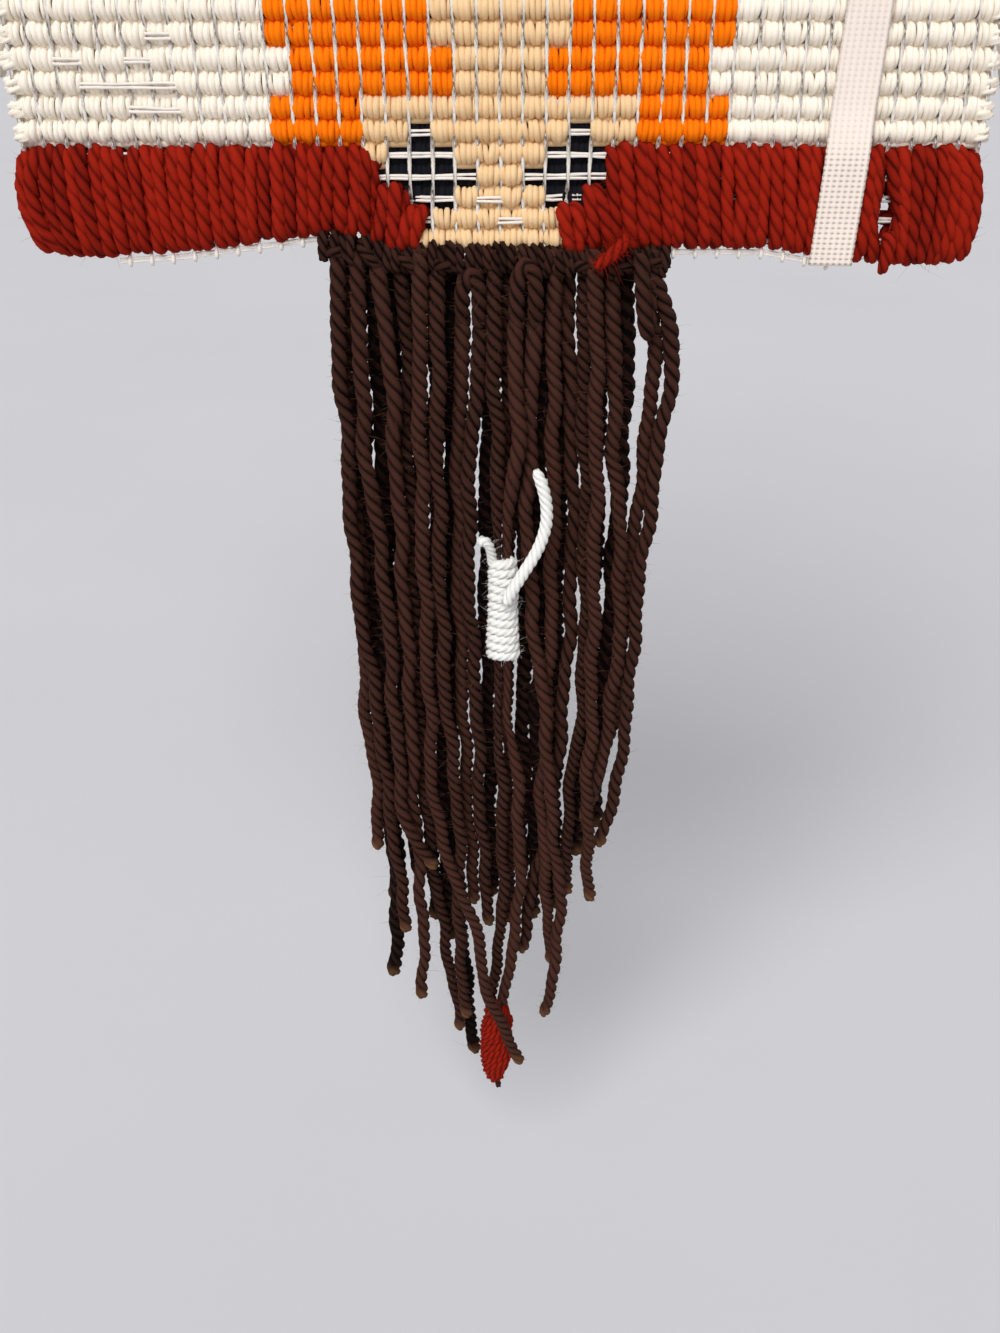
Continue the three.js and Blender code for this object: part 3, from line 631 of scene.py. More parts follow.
def yarn_material(name, lit, deep, sheen=0.05, spread=0.06, fibre=0.35, patch=0.12, groove_shade_strength=0.5, end=None):
    """Spun yarn: fibre streaks along the plies, painted shade in the grooves between plies, and each length
    a little different.
    """
    material, nodes, links, shader = new_material(name)
    coordinates = nodes.new("ShaderNodeTexCoord")
    streaks_at = nodes.new("ShaderNodeMapping")
    streaks_at.inputs["Scale"].default_value = (2.2, 26, 1)
    streaks_at.inputs["Rotation"].default_value = (0, 0, 0.10)
    links.new(coordinates.outputs["UV"], streaks_at.inputs["Vector"])
    streaks = noise_node(nodes, links, streaks_at.outputs["Vector"], 1.0, 3, 0.6)
    blotches = noise_node(nodes, links, coordinates.outputs["Object"], 90, 3)
    fuzz = noise_node(nodes, links, coordinates.outputs["Object"], 2600, 2, 0.7)
    shade = math_node(nodes, links, "MULTIPLY_ADD", named_value(nodes, "tone"), spread, 1.0)
    shade = varied(nodes, links, shade, streaks, fibre)
    shade = varied(nodes, links, shade, blotches, patch)
    shade = varied(nodes, links, shade, fuzz, 0.25)
    # Painted shade: darker towards the deep colour in the grooves and the other places that the mesh marks
    shade = math_node(nodes, links, "MULTIPLY_ADD", named_value(nodes, "groove"), -groove_shade_strength, shade)
    # The deep colour is where the painted shade leads, and where the random tone, streaks and blotches reach
    # at their darkest
    result = mixed(nodes, links, shade, deep, lit)
    if end:
        worn = math_node(nodes, links, "MULTIPLY", named_value(nodes, "tip"), streaks)
        result = mixed(nodes, links, worn, result, end)
    links.new(result, shader.inputs["Base Color"])
    height = math_node(nodes, links, "MULTIPLY_ADD", fuzz, 0.5, streaks)
    bump = nodes.new("ShaderNodeBump")
    bump.inputs["Strength"].default_value = 0.6
    bump.inputs["Distance"].default_value = 0.5 * MM
    links.new(height, bump.inputs["Height"])
    links.new(bump.outputs["Normal"], shader.inputs["Normal"])
    shader.inputs["Roughness"].default_value = 0.92
    shader.inputs["Specular IOR Level"].default_value = 0.08
    shader.inputs["Sheen Weight"].default_value = sheen
    shader.inputs["Sheen Roughness"].default_value = 0.5
    return material


def cloth_material(name, lit, deep, cord, rung, strength=0.6):
    """Flat woven cloth: cords along it, and a row of small openings between them at every rung, with shade
    painted in the openings and a little light on the cords.
    """
    material, nodes, links, shader = new_material(name)
    coordinates = nodes.new("ShaderNodeTexCoord")
    split = nodes.new("ShaderNodeSeparateXYZ")
    links.new(coordinates.outputs["UV"], split.inputs["Vector"])
    cords = math_node(nodes, links, "MULTIPLY", split.outputs["X"], math.pi / cord)
    cords = math_node(nodes, links, "ABSOLUTE", math_node(nodes, links, "COSINE", cords))
    rungs = math_node(nodes, links, "MULTIPLY", split.outputs["Y"], TAU / rung)
    rungs = math_node(nodes, links, "COSINE", rungs)
    between = math_node(nodes, links, "POWER", math_node(nodes, links, "SUBTRACT", 1.0, cords), 0.6)
    dashes = math_node(nodes, links, "POWER", math_node(nodes, links, "MULTIPLY_ADD", rungs, 0.5, 0.5), 2.5)
    openings_grow = nodes.new("ShaderNodeMapRange")
    for socket, value in zip(openings_grow.inputs[1:5], TAPE_OPENINGS_GROW):
        socket.default_value = value
    links.new(split.outputs["Y"], openings_grow.inputs["Value"])
    opening = math_node(nodes, links, "MULTIPLY", between, dashes)
    opening = math_node(nodes, links, "MULTIPLY", opening, openings_grow.outputs["Result"])
    stain = noise_node(nodes, links, coordinates.outputs["Object"], 60, 4)
    grain = noise_node(nodes, links, coordinates.outputs["Object"], 1800, 3, 0.7)
    # Painted shade in the openings, and a painted highlight along the cords' crests
    shade = math_node(nodes, links, "MULTIPLY_ADD", opening, -0.9, 0.96)
    shade = math_node(nodes, links, "MULTIPLY_ADD", cords, 0.06, shade)
    shade = varied(nodes, links, shade, stain, 0.4)
    shade = varied(nodes, links, shade, grain, 0.4)
    links.new(mixed(nodes, links, shade, deep, lit), shader.inputs["Base Color"])
    bump = nodes.new("ShaderNodeBump")
    bump.inputs["Strength"].default_value = strength
    bump.inputs["Distance"].default_value = 0.3 * MM
    links.new(math_node(nodes, links, "SUBTRACT", cords, opening), bump.inputs["Height"])
    links.new(bump.outputs["Normal"], shader.inputs["Normal"])
    shader.inputs["Roughness"].default_value = 0.88
    shader.inputs["Specular IOR Level"].default_value = 0.25
    shader.inputs["Sheen Weight"].default_value = 0.15
    return material


# Settings that a user may change


def millimetres(name, description, default):
    """A length that a user may change, with its default in mm."""
    return FloatProperty(name=name, description=description, default=default * MM, unit="LENGTH")


def whole_number(name, description, default):
    """A whole number that a user may change."""
    return IntProperty(name=name, description=description, default=default, min=0)


class HangingSizes(bpy.types.PropertyGroup):
    """Sizes of the yarns, and how finely they are made."""

    fringe_yarn: millimetres("Fringe yarn", "Thickness of the brown fringe yarn", 5.4)
    fringe_twist: millimetres("Fringe twist", "Length of one full turn of the fringe yarn's plies", 14.5)
    knot_yarn: millimetres("Knot yarn", "Thickness of the yarn in a knot's back", 3.3)
    whip_yarn: millimetres("Whipping yarn", "Thickness of the red yarn over the hem", 4.5)
    tie_yarn: millimetres("Tie yarn", "Thickness of the white yarn's free end", 4.4)
    pile_length: millimetres("Pile length", "Length of a knot's cut end on the front", 26)
    fine_rows: whole_number("Fine rows", "How many of the lowest field rows have finely made knots", 8)
    loose_fibres: whole_number("Loose fibres", "How many loose fibres stand off the fringe", 18000)


def colour(name, description, *srgb):
    """A colour that a user may change, given as it looks on screen."""
    return FloatVectorProperty(
        name=name, description=description, default=linear(*srgb), subtype="COLOR", min=0, max=1
    )


class HangingColours(bpy.types.PropertyGroup):
    """Colours of the yarns, cloth and floor."""

    brown: colour("Brown yarn", "Fringe yarn where it is lit", 68, 40, 32)
    # The loose fibres are lighter than the yarn: a painted highlight where fibres catch the light
    brown_fibre: colour("Brown fibre", "Loose fibres of the fringe yarn", 96, 66, 52)
    yarn_end: colour("Yarn end", "The worn cut ends of the fringe yarn", 132, 92, 62)
    red: colour("Red yarn", "Whipping and tip winding", 150, 30, 13)
    cream: colour("Cream yarn", "Most of the field", 253, 242, 226)
    tan: colour("Tan yarn", "The middle column", 243, 206, 158)
    orange: colour("Orange yarn", "The flanking bands", 255, 126, 8)
    black: colour("Black yarn", "The diamonds", 26, 26, 32)
    white: colour("White yarn", "The tie", 244, 243, 237)
    canvas: colour("Canvas thread", "The open canvas", 252, 243, 233)
    tape: colour("Tape", "The woven cotton tape", 240, 226, 214)
    floor: colour("Floor", "The plain pale floor", 211, 210, 213)


def settings():
    """The sizes and the colours."""
    return bpy.context.scene.hanging_sizes, bpy.context.scene.hanging_colours


def deeper(value, share, warm=(1.0, 1.0, 1.0)):
    """A darker colour, which may also be warmer."""
    return tuple(v * share * w for v, w in zip(value, warm))


YARNS = {}


def yarn(kind):
    """The material of one yarn, made once."""
    if kind not in YARNS:
        _, tints = settings()
        lit = tuple(getattr(tints, kind))
        # Each deep colour is the yarn at its deepest painted shade, in grooves, under rolls and behind other
        # strands
        looks = {
            "brown": {
                "deep": deeper(lit, 0.05), "sheen": 0.0, "fibre": 0.9, "spread": 0.12, "groove_shade_strength": 0.95,
                "end": tints.yarn_end,
            },
            # The fibres' colour carries a painted highlight
            "brown_fibre": {"deep": deeper(lit, 0.5), "sheen": 0.0},
            "red": {
                "deep": deeper(lit, 0.14, (1, 0.3, 0.3)), "sheen": 0.0, "fibre": 0.7, "spread": 0.12,
                "groove_shade_strength": 0.7,
            },
            "cream": {"deep": deeper(lit, 0.80, (1, 0.95, 0.86)), "sheen": 0.1, "groove_shade_strength": 0.4},
            "tan": {"deep": deeper(lit, 0.60, (1, 0.86, 0.66)), "sheen": 0.1},
            "orange": {"deep": deeper(lit, 0.66, (1, 0.74, 0.5)), "sheen": 0.0},
            "black": {"deep": deeper(lit, 0.2), "sheen": 0.0},
            "white": {"deep": deeper(lit, 0.7), "sheen": 0.05, "groove_shade_strength": 0.35},
            "canvas": {"deep": deeper(lit, 0.88), "sheen": 0.25, "groove_shade_strength": 0.1},
        }[kind]
        YARNS[kind] = yarn_material(f"{kind}_yarn", lit, **looks)
    return YARNS[kind]


# The pieces


class MakeStage(bpy.types.Operator):
    """Sets the camera, the pale floor and soft studio light."""

    bl_idname = "hanging.make_stage"
    bl_label = "Stage"

    def execute(self, context):
        _, tints = settings()
        self.make_camera(context)
        self.make_floor(tuple(tints.floor))
        self.make_sun()
        world = bpy.data.worlds.new("soft_room")
        world.use_nodes = True
        background = world.node_tree.nodes["Background"]
        background.inputs["Color"].default_value = (*ROOM_TINT, 1)
        background.inputs["Strength"].default_value = ROOM_STRENGTH
        context.scene.world = world
        context.scene.view_settings.view_transform = "Standard"
        return {"FINISHED"}

    def make_camera(self, context):
        """Looks down at the hanging from in front of its canvas side, as in the photo."""
        camera = bpy.data.cameras.new("photo_view")
        camera.sensor_fit = "VERTICAL"
        camera.sensor_height = SENSOR_MM
        camera.lens = SENSOR_MM * FOCAL_PX / TALL_PX
        camera.clip_end = 200
        view = bpy.data.objects.new("photo_view", camera)
        view.location = CAMERA_PLACE
        view.rotation_euler = (math.pi / 2 - math.radians(CAMERA_TILT), 0, 0)
        context.scene.collection.objects.link(view)
        context.scene.camera = view

    def make_floor(self, tint):
        """A plain floor below the hanging, very slightly cloudy."""
        under_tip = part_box("tip_wrap")[0][2] - FLOOR_BELOW
        sides = ((-1, -1), (1, -1), (1, 1), (-1, 1))
        corners = [(x * FLOOR_REACH, y * FLOOR_REACH, under_tip) for x, y in sides]
        mesh = bpy.data.meshes.new("floor")
        mesh.from_pydata(corners, [], [(0, 1, 2, 3)])
        material, nodes, links, shader = new_material("floor")
        coordinates = nodes.new("ShaderNodeTexCoord")
        cloudy = noise_node(nodes, links, coordinates.outputs["Object"], 3, 3)
        cloudy_tint = mixed(nodes, links, cloudy, deeper(tint, 0.96), deeper(tint, 1.03))
        links.new(cloudy_tint, shader.inputs["Base Color"])
        shader.inputs["Roughness"].default_value = 0.95
        mesh.materials.append(material)
        floor = bpy.data.objects.new("floor", mesh)
        bpy.context.scene.collection.objects.link(floor)

    def make_sun(self):
        """A very soft light from the upper left, even over the object and the floor."""
        light = bpy.data.lights.new("soft_key", "SUN")
        light.angle = math.radians(SUN_WIDE)
        light.energy = SUN_STRENGTH
        lamp = bpy.data.objects.new("soft_key", light)
        across, away, down = SUN_HEADING
        lamp.rotation_euler = (math.atan2(math.hypot(across, away), -down), 0, math.atan2(-across, away))
        bpy.context.scene.collection.objects.link(lamp)


class MakeTail(bpy.types.Operator):
    """Makes the long free end of the white tie."""

    bl_idname = "hanging.make_tail"
    bl_label = "Tie tail"

    def execute(self, context):
        sizes, _ = settings()
        route = np.array(TAIL_ROUTE) * MM
        line = smooth_path(route, 1.0 * MM)
        thick = np.full(len(line), sizes.tie_yarn / 2)
        thick[-6:] *= (1, 0.98, 0.93, 0.86, 0.74, 0.5)
        yarn_tube = sweep(line[None], thick[None], PLY_FULL, TWIST["tail"], ref=(0, 1, 0))
        tail = joined_mesh("tie_tail_yarn", [yarn_tube], yarn("white"))
        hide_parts("tie_tail")
        return {"FINISHED"}


class MakeKnots(bpy.types.Operator):
    """Makes the yarn loops of the knots on the canvas side, one piece for each colour."""

    bl_idname = "hanging.make_knots"
    bl_label = "Knot backs"

    def execute(self, context):
        sizes, _ = settings()
        rng = np.random.default_rng(11)
        thick = sizes.knot_yarn / 2
        fine_from = FIELD_ROWS - sizes.fine_rows
        loops, waists = {}, {}
        for column, row, x, top, pitch in cells():
            kind = design(column, row)
            held = "deep" if kind == "black" else "tight" if (column, row) in OPEN_CELLS else "full"
            fine = row >= fine_from
            for aside in (-0.375, -0.125, 0.125, 0.375) if fine else (-0.25, 0.25):
                loops.setdefault((kind, fine, held), []).append((x, aside * COLUMN, top, pitch))
            if fine:
                inward = 1.6 * MM if held == "deep" else -0.3 * MM
                waists.setdefault(kind, []).append((x, top - 0.95 * pitch, inward))
        pieces = {kind: [self.waists(np.array(places))] for kind, places in waists.items()}
        for (kind, fine, held), places in loops.items():
            part = self.loops(np.array(places), thick, fine, held, rng)
            pieces.setdefault(kind, []).append(part)
        pieces["cream"] += self.edge_loops(rng)
        for kind, parts in pieces.items():
            piece = joined_mesh(f"knots_{kind}", parts, yarn(kind), 3)
            if kind == "cream":
                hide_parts("knot_backs")
        return {"FINISHED"}

    def loops(self, places, thick, fine, held, rng):
        """Short arcs over the weft: out, down, back in, and drawn together below by the knot."""
        profile = np.array([LOOP_DEPTH, LOOP_DOWN, LOOP_DRAWN, LOOP_PAINTED_SHADE])
        out, down, drawn, painted_under_shade = profile if fine else profile[:, COARSE]
        out, down = out * MM, down * MM
        thick = thick * (0.64 if fine else 1)
        if held == "deep":
            out = out * 0.2 + 1.5 * MM
            thick = thick * 1.3
        if held == "tight":
            out = out * 0.55
        count = len(places)
        x, aside, top, pitch = (value[:, None] for value in places.T)
        swell = rng.normal(1, 0.05, (count, 1)) * np.where(np.abs(aside) > 0.3 * COLUMN, 0.84, 1)
        lean = rng.normal(0.1, 0.25, (count, 1)) * MM
        down = down * np.where(np.abs(aside) > 0.3 * COLUMN, 0.92, 1)
        y = out * swell + rng.normal(0, 0.12, (count, 1)) * MM
        z = top + down * pitch / ROW + rng.normal(0, 0.14, (count, 1)) * MM
        xs = x + aside * drawn + lean * np.linspace(-1, 1, len(out)) + rng.normal(0, 0.1, (count, 1)) * MM
        paths = np.stack([xs, y + bend(xs, z), z], -1)
        radius = thick * rng.normal(1, 0.09, (count, 1)) * np.interp(down, (-6 * MM, -3.5 * MM), (0.9, 1.0))
        phase = math.radians(45) + rng.normal(0, 0.2, count)
        ply, plies = (ROUND, 6) if fine else (PLY_COARSE, 3)
        part = sweep(paths, radius, ply, TWIST["loop"], phase, ref=(1, 0, 0), plies=plies, caps=False)
        # Painted shade on each loop's lower part, under its roll, and a little where it goes into the canvas
        shaded = np.repeat(np.tile(painted_under_shade, count), len(part["groove"]) // (count * len(painted_under_shade)))
        return {**part, "groove": np.minimum(part["groove"] + shaded, 1.6)}

    def waists(self, places):
        """The part of each knot that lies across, in the recess below its row, with shade painted all over
        it.
        """
        x, z, y = (value[:, None] for value in places.T)
        xs = x + np.array([-0.52, 0, 0.52]) * COLUMN
        zs = np.broadcast_to(z, xs.shape)
        paths = np.stack([xs, y + bend(xs, zs), zs], -1)
        part = sweep(paths, 1.3 * MM, ROUND, TWIST["loop"], ref=(0, 0, 1), plies=6, caps=False)
        # Painted shade: every point of a waist is darkened fully
        return {**part, "groove": np.full(len(part["points"]), 1.0)}

    def edge_loops(self, rng):
        """The yarn that turns round each side edge of the field, two turns to a row."""
        parts = []
        around = np.array(EDGE_TURN) * MM
        for side in (-1, 1):
            top = -np.arange(FIELD_ROWS) * ROW
            z = np.concatenate([top - 2.3 * MM, top - 4.2 * MM]) + rng.normal(0, 0.12, 2 * FIELD_ROWS) * MM
            x = side * (HALF + around[:, 0][None] + rng.normal(0, 0.15, (len(z), 1)) * MM)
            zs = z[:, None] + np.linspace(0.3, -0.3, len(around)) * MM
            y = around[:, 1][None] + bend(x, zs)
            paths = np.stack([x, y, zs], -1)
            radius = 1.6 * MM * rng.normal(1, 0.05, (len(z), 1)) * np.array([0.7, 1, 1, 1, 1, 0.9])
            phase = rng.uniform(0, TAU, len(z))
            parts.append(sweep(paths, radius, PLY_FINE, TWIST["edge"], phase, ref=(0, 0, 1)))
        return parts


class MakeCanvas(bpy.types.Operator):
    """Makes the open canvas: paired upright threads, paired crossing threads and the lower selvedge."""

    bl_idname = "hanging.make_canvas"
    bl_label = "Canvas threads"

    def execute(self, context):
        rng = np.random.default_rng(5)
        parts = [self.uprights(rng), self.crossings(rng), *self.selvedges()]
        canvas = joined_mesh("canvas_threads", parts, yarn("canvas"), 8)
        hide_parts("canvas")
        return {"FINISHED"}

    def uprights(self, rng):
        """Each upright is a pair of threads twisted together, pressed in by the rolls of yarn beside it."""
        levels = 3 * (FIELD_ROWS + HEM_ROWS) + 1
        paths = []
        for line in range(COLUMNS + 1):
            x = np.clip(line * COLUMN - HALF, 0.8 * MM - HALF, HALF - 0.8 * MM)
            end = BOTTOM + 1.4 * MM + CORNER_RISE * max(0, abs(x) - CORNER_FROM)
            if not WHIP_INNER["left"] < x < WHIP_INNER["right"]:
                end = max(end, whip_edge(x) + 2.5 * MM)
            z = np.linspace(-0.3 * MM, end, levels)
            in_row = np.where(z > FIELD_BOTTOM, -z / ROW, (FIELD_BOTTOM - z) / HEM_ROW) % 1
            between = 0.5 + 0.5 * np.cos(TAU * (in_row - 0.86))
            wander = np.interp(z, np.linspace(z[-1], 0, 30), rng.normal(0, 0.2, 30)) * MM
            xs = x + wander
            above_step = z > FIELD_BOTTOM - WHIP_STEP_DOWN
            left = np.where(above_step, WHIP_STEP["left"], WHIP_INNER["left"])
            right = np.where(above_step, WHIP_STEP["right"], WHIP_INNER["right"])
            in_hem = smoothstep(-z, -FIELD_BOTTOM + 1.5 * MM, -FIELD_BOTTOM + 3.5 * MM)
            hidden = in_hem * ((xs < left) | (xs > right))
            knotted = self.knotted(line, z)
            pressed = smoothstep(-z, -FIELD_BOTTOM - 11 * MM, -FIELD_BOTTOM - 6 * MM) * (1 - between)
            over_knots = 2.7 - 0.6 * between - 1.3 * pressed
            lift = (1 - hidden) * (0.75 + knotted * over_knots + (1 - knotted) * 1.2)
            paths.append(np.stack([xs, bend(xs, z) - lift * MM, z], -1))
        return sweep(np.array(paths), UPRIGHT, THREAD_PAIR, TWIST["upright"], ref=(1, 0, 0), plies=2)

    def knotted(self, line, z):
        """1 where the cells beside an upright thread are full of yarn, and 0 beside open ones."""
        row = np.where(z > FIELD_BOTTOM, -z / ROW, FIELD_ROWS + (FIELD_BOTTOM - z) / HEM_ROW)
        row = np.clip(np.floor(row), 0, FIELD_ROWS + HEM_ROWS - 1).astype(int)
        beside = {max(line - 1, 0), min(line, COLUMNS - 1)}
        shut = [[design(c, r) != "black" and (c, r) not in OPEN_CELLS for c in beside] for r in row]
        return np.array(shut, float).min(1)

    def crossings(self, rng):
        """Each crossing is a pair of thin threads, which shows only in the open cells."""
        paths = []
        for row in range(FIELD_ROWS + HEM_ROWS):
            pitch = HEM_ROW if row >= FIELD_ROWS else ROW
            top = FIELD_BOTTOM - (row - FIELD_ROWS) * HEM_ROW if row >= FIELD_ROWS else -row * ROW
            inside = min(CORNER_FROM + max(0, top - pitch - BOTTOM) / CORNER_RISE, HALF - 0.3 * MM)
            x = np.linspace(-inside, inside, 2 * COLUMNS + 1)
            for pair in (-0.5, 0.5):
                sway = np.interp(x, np.linspace(-HALF, HALF, 40), rng.normal(0, 0.15, 40)) * MM
                z = top - 0.5 * pitch + pair * 1.0 * MM + sway
                outside = (x < WHIP_INNER["left"]) | (x > WHIP_INNER["right"])
                z = np.where(outside, np.maximum(z, whip_edge(x) + 2 * MM), z)
                out = np.where(outside & (row >= FIELD_ROWS + 2), 0, 1.35) * MM
                tight = [c for c, r in OPEN_CELLS if r == row]
                over = [np.abs(x / COLUMN + COLUMNS / 2 - c - 0.5) < 0.6 for c in tight]
                out = np.where(np.any(over, 0), 3.4 * MM, out) if over else out
                paths.append(np.stack([x, bend(x, z) - out, z], -1))
        return sweep(np.array(paths), CROSSING_THREAD, THREAD, TWIST["crossing"], ref=(0, 0, 1), plies=2)

    def selvedges(self):
        """The canvas's lower edge, seen under the whipped hem: two threads, and a nub at each upright."""
        parts = []
        for low, high in SELVEDGE_SHOWS:
            x = np.arange(low, high, 1.4) * MM
            z = whip_edge(x) - 0.6 * MM
            for drop in (0, 1.0):
                path = np.stack([x, bend(x, z) - 1.0 * MM, z - drop * MM], -1)
                parts.append(sweep(path[None], SELVEDGE, THREAD, TWIST["selvedge"], ref=(0, 0, 1)))
        t = np.linspace(1.4, -2.4, 5) * MM
        stands_out = np.array([0.6, 1.3, 1.6, 1.5, 0.9]) * MM
        nubs = []
        for line in range(COLUMNS + 1):
            x = line * COLUMN - HALF
            if any(low < x / MM < high for low, high in SELVEDGE_SHOWS):
                z = whip_edge(x) - 0.6 * MM + t
                nubs.append(np.stack([np.full(5, x), bend(x, z) - stands_out, z], -1))
        size = np.array([0.5, 0.55, 0.6, 0.75, 0.45]) * MM
        parts.append(sweep(np.array(nubs), size * np.ones((len(nubs), 1)), THREAD, TWIST["selvedge"]))
        return parts


class MakePile(bpy.types.Operator):
    """Makes the cut yarn ends on the front, one piece for each colour."""

    bl_idname = "hanging.make_pile"
    bl_label = "Pile"

    def execute(self, context):
        sizes, _ = settings()
        rng = np.random.default_rng(23)
        ends = {}
        for column, row, x, top, pitch in cells():
            for side in (-1, 1):
                place = (x + side * 0.22 * COLUMN, top - 0.45 * pitch)
                ends.setdefault(design(column, row), []).append(place)
        for kind, places in ends.items():
            part = self.tufts(np.array(places), sizes.pile_length, rng)
            piece = joined_mesh(f"pile_{kind}", [part], yarn(kind), 29)
            if kind == "cream":
                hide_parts("pile")
        return {"FINISHED"}

    def tufts(self, places, cut, rng):
        """Cut ends that stand out of the canvas and droop, and splay at the side edges."""
        x, z = places.T
        count = len(places)
        t = np.array([0, 0.3, 0.66, 1.0])
        reach = cut * rng.normal(1, 0.06, (count, 1))
        droop = rng.normal(0.62, 0.10, (count, 1))
        sway = rng.normal(0, 0.16, (count, 1))
        at_side = (x / HALF)[:, None]
        splay = sway + 0.28 * np.sign(at_side) * smoothstep(np.abs(at_side), 0.9, 1.0)
        low = smoothstep(-z[:, None], -FIELD_BOTTOM - 30 * MM, -FIELD_BOTTOM - 10 * MM)
        splay = splay - 0.5 * np.sign(at_side) * low * smoothstep(np.abs(at_side), 0.8, 1.0)
        near_top = smoothstep(z[:, None], -14 * MM, 0)
        droop = droop * (1 - 0.75 * near_top)
        out = (0.92 * t - 0.22 * t**2) * (1 - 0.12 * droop)
        xs = x[:, None] + reach * splay * t
        ys = 0.8 * MM + reach * out * 0.92
        zs = z[:, None] - reach * droop * t**2
        paths = np.stack([xs, ys + bend(xs, zs), zs], -1)
        radius = 2.0 * MM * rng.normal(1, 0.06, (count, 1)) * np.array([0.8, 1.0, 1.12, 1.06])
        return sweep(paths, radius, PLY_PILE, TWIST["pile"], rng.uniform(0, TAU, count), (1, 0, 0), plies=3)


class MakeWhipping(bpy.types.Operator):
    """Makes the red yarn whipped over the hem, stitch by stitch, on both sides of the middle."""

    bl_idname = "hanging.make_whipping"
    bl_label = "Whipped hem"

    def execute(self, context):
        sizes, _ = settings()
        for seed, (name, sign) in enumerate((("left", -1), ("right", 1))):
            rng = np.random.default_rng(41 + seed)
            upper = self.stitches(name, sign, sizes.whip_yarn / 2, rng)
            under = self.stitches(name, sign, sizes.whip_yarn / 2, rng, under=True)
            loose = [self.loose(route) for route in (FRAYED_END, SLACK_STITCH)] if name == "right" else []
            piece = joined_mesh(f"whipping_{name}", [upper, under, *loose], yarn("red"), 17)
            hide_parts(f"binding_{name}")
            fuzz = hairs(f"red_fuzz_{name}", [upper], yarn("red"), 6000, FIBRE, 51 + seed)
            if loose:
                fray = hairs("red_fray", loose[:1], yarn("red"), 500, 1.3 * MM, 57, 0.12 * MM)
        return {"FINISHED"}

    def loose(self, route):
        """A short loose length of the whipping yarn, thinner at its end."""
        line = smooth_path(np.array(route) * MM, 1.2 * MM)
        thick = 2.15 * MM * np.interp(np.linspace(0, 1, len(line)), (0, 0.7, 1), (1, 1, 0.7))
        part = sweep(line[None], thick[None], PLY_FULL, TWIST["loose"], ref=(0, 1, 0), plies=3)
        return with_middles(part, line[None])

    def stitches(self, name, sign, thick, rng, under=False):
        """Closed turns of yarn round the hem, each with its own slant and sway, in one of two layers."""
        first = WHIP_INNER[name] + sign * (thick * 0.8 + (WHIP_STITCH / 2 if under else 0))
        last = sign * (WHIP_OUTER - (4 * MM if under else 1.9 * MM))
        count = round(abs(last - first) / WHIP_STITCH)
        x = np.linspace(first, last, count)[:, None] + rng.normal(0, 0.2, (count, 1)) * MM
        theta = np.linspace(0, TAU, 360, endpoint=False)[None]
        step, inner = abs(WHIP_STEP[name]), abs(WHIP_INNER[name])
        step_top = np.where(np.abs(x) < (step + inner) / 2, WHIP_STEP_TOPS[1], WHIP_STEP_TOPS[0])
        top = np.where(np.abs(x) < step, FIELD_BOTTOM - step_top, FIELD_BOTTOM + 0.6 * MM)
        to_end = np.clip((np.abs(x) - (WHIP_OUTER - WHIP_ROUNDS)) / WHIP_ROUNDS, 0, 1)
        top = top - 1.5 * MM * to_end**3
        low = whip_edge(x) - 0.3 * MM + 0.5 * MM * to_end**2
        rounding = np.sqrt(1 - 0.72 * to_end**2.4)
        middle = (top + low) / 2
        high = (top - low) / 2 - thick + rng.normal(0, 0.4, x.shape) * MM
        deep = WHIP_HALF * (0.5 + 0.5 * rounding) - thick + rng.normal(0, 0.2, x.shape) * MM
        if under:
            high, deep = high - 1.5 * MM, deep * 0.55
        squareness = 0.62
        up = np.sign(np.sin(theta)) * np.abs(np.sin(theta)) ** squareness
        out = np.sign(np.cos(theta)) * np.abs(np.cos(theta)) ** squareness
        slant = np.interp(x / MM, *zip(*WHIP_SLANT)) + rng.normal(0, 0.3, x.shape)
        fan = smoothstep(np.abs(x), WHIP_OUTER - 22 * MM, WHIP_OUTER - 2 * MM)
        wave = rng.normal(0, 0.4, x.shape) * np.sin(theta + rng.uniform(0, TAU, x.shape))
        wave = wave + rng.normal(0, 0.3, x.shape) * np.sin(2 * theta + rng.uniform(0, TAU, x.shape))
        xs = x + (slant * up + wave - sign * 3.2 * fan * (up - 0.05) ** 2) * MM
        zs = middle + high * up
        ys = bend(xs, zs) - deep * out
        for gap_x, gap_z, tall, wide in WHIP_GAPS:
            aside = xs / MM - gap_x
            near = np.exp(-((aside / 3.4) ** 2) - ((zs / MM - gap_z) / tall) ** 2)
            xs = (gap_x + np.where(aside > 0, 1, -1) * np.sqrt(aside**2 + wide**2 * near)) * MM
        rings = 28 if under else 46
        paths = evenly(np.stack([xs, ys, zs], -1), rings)
        radius = thick * rng.normal(1.04, 0.06, x.shape) * (1 + 0.05 * rng.normal(0, 1, (count, rings)))
        phase = rng.uniform(0, TAU, count)
        ply = PLY_COARSE if under else PLY_SOFT
        part = sweep(paths, radius, ply, TWIST["whipping"], phase, ref=(1, 0, 0), plies=3, closed=True)
        return with_middles(part, paths)


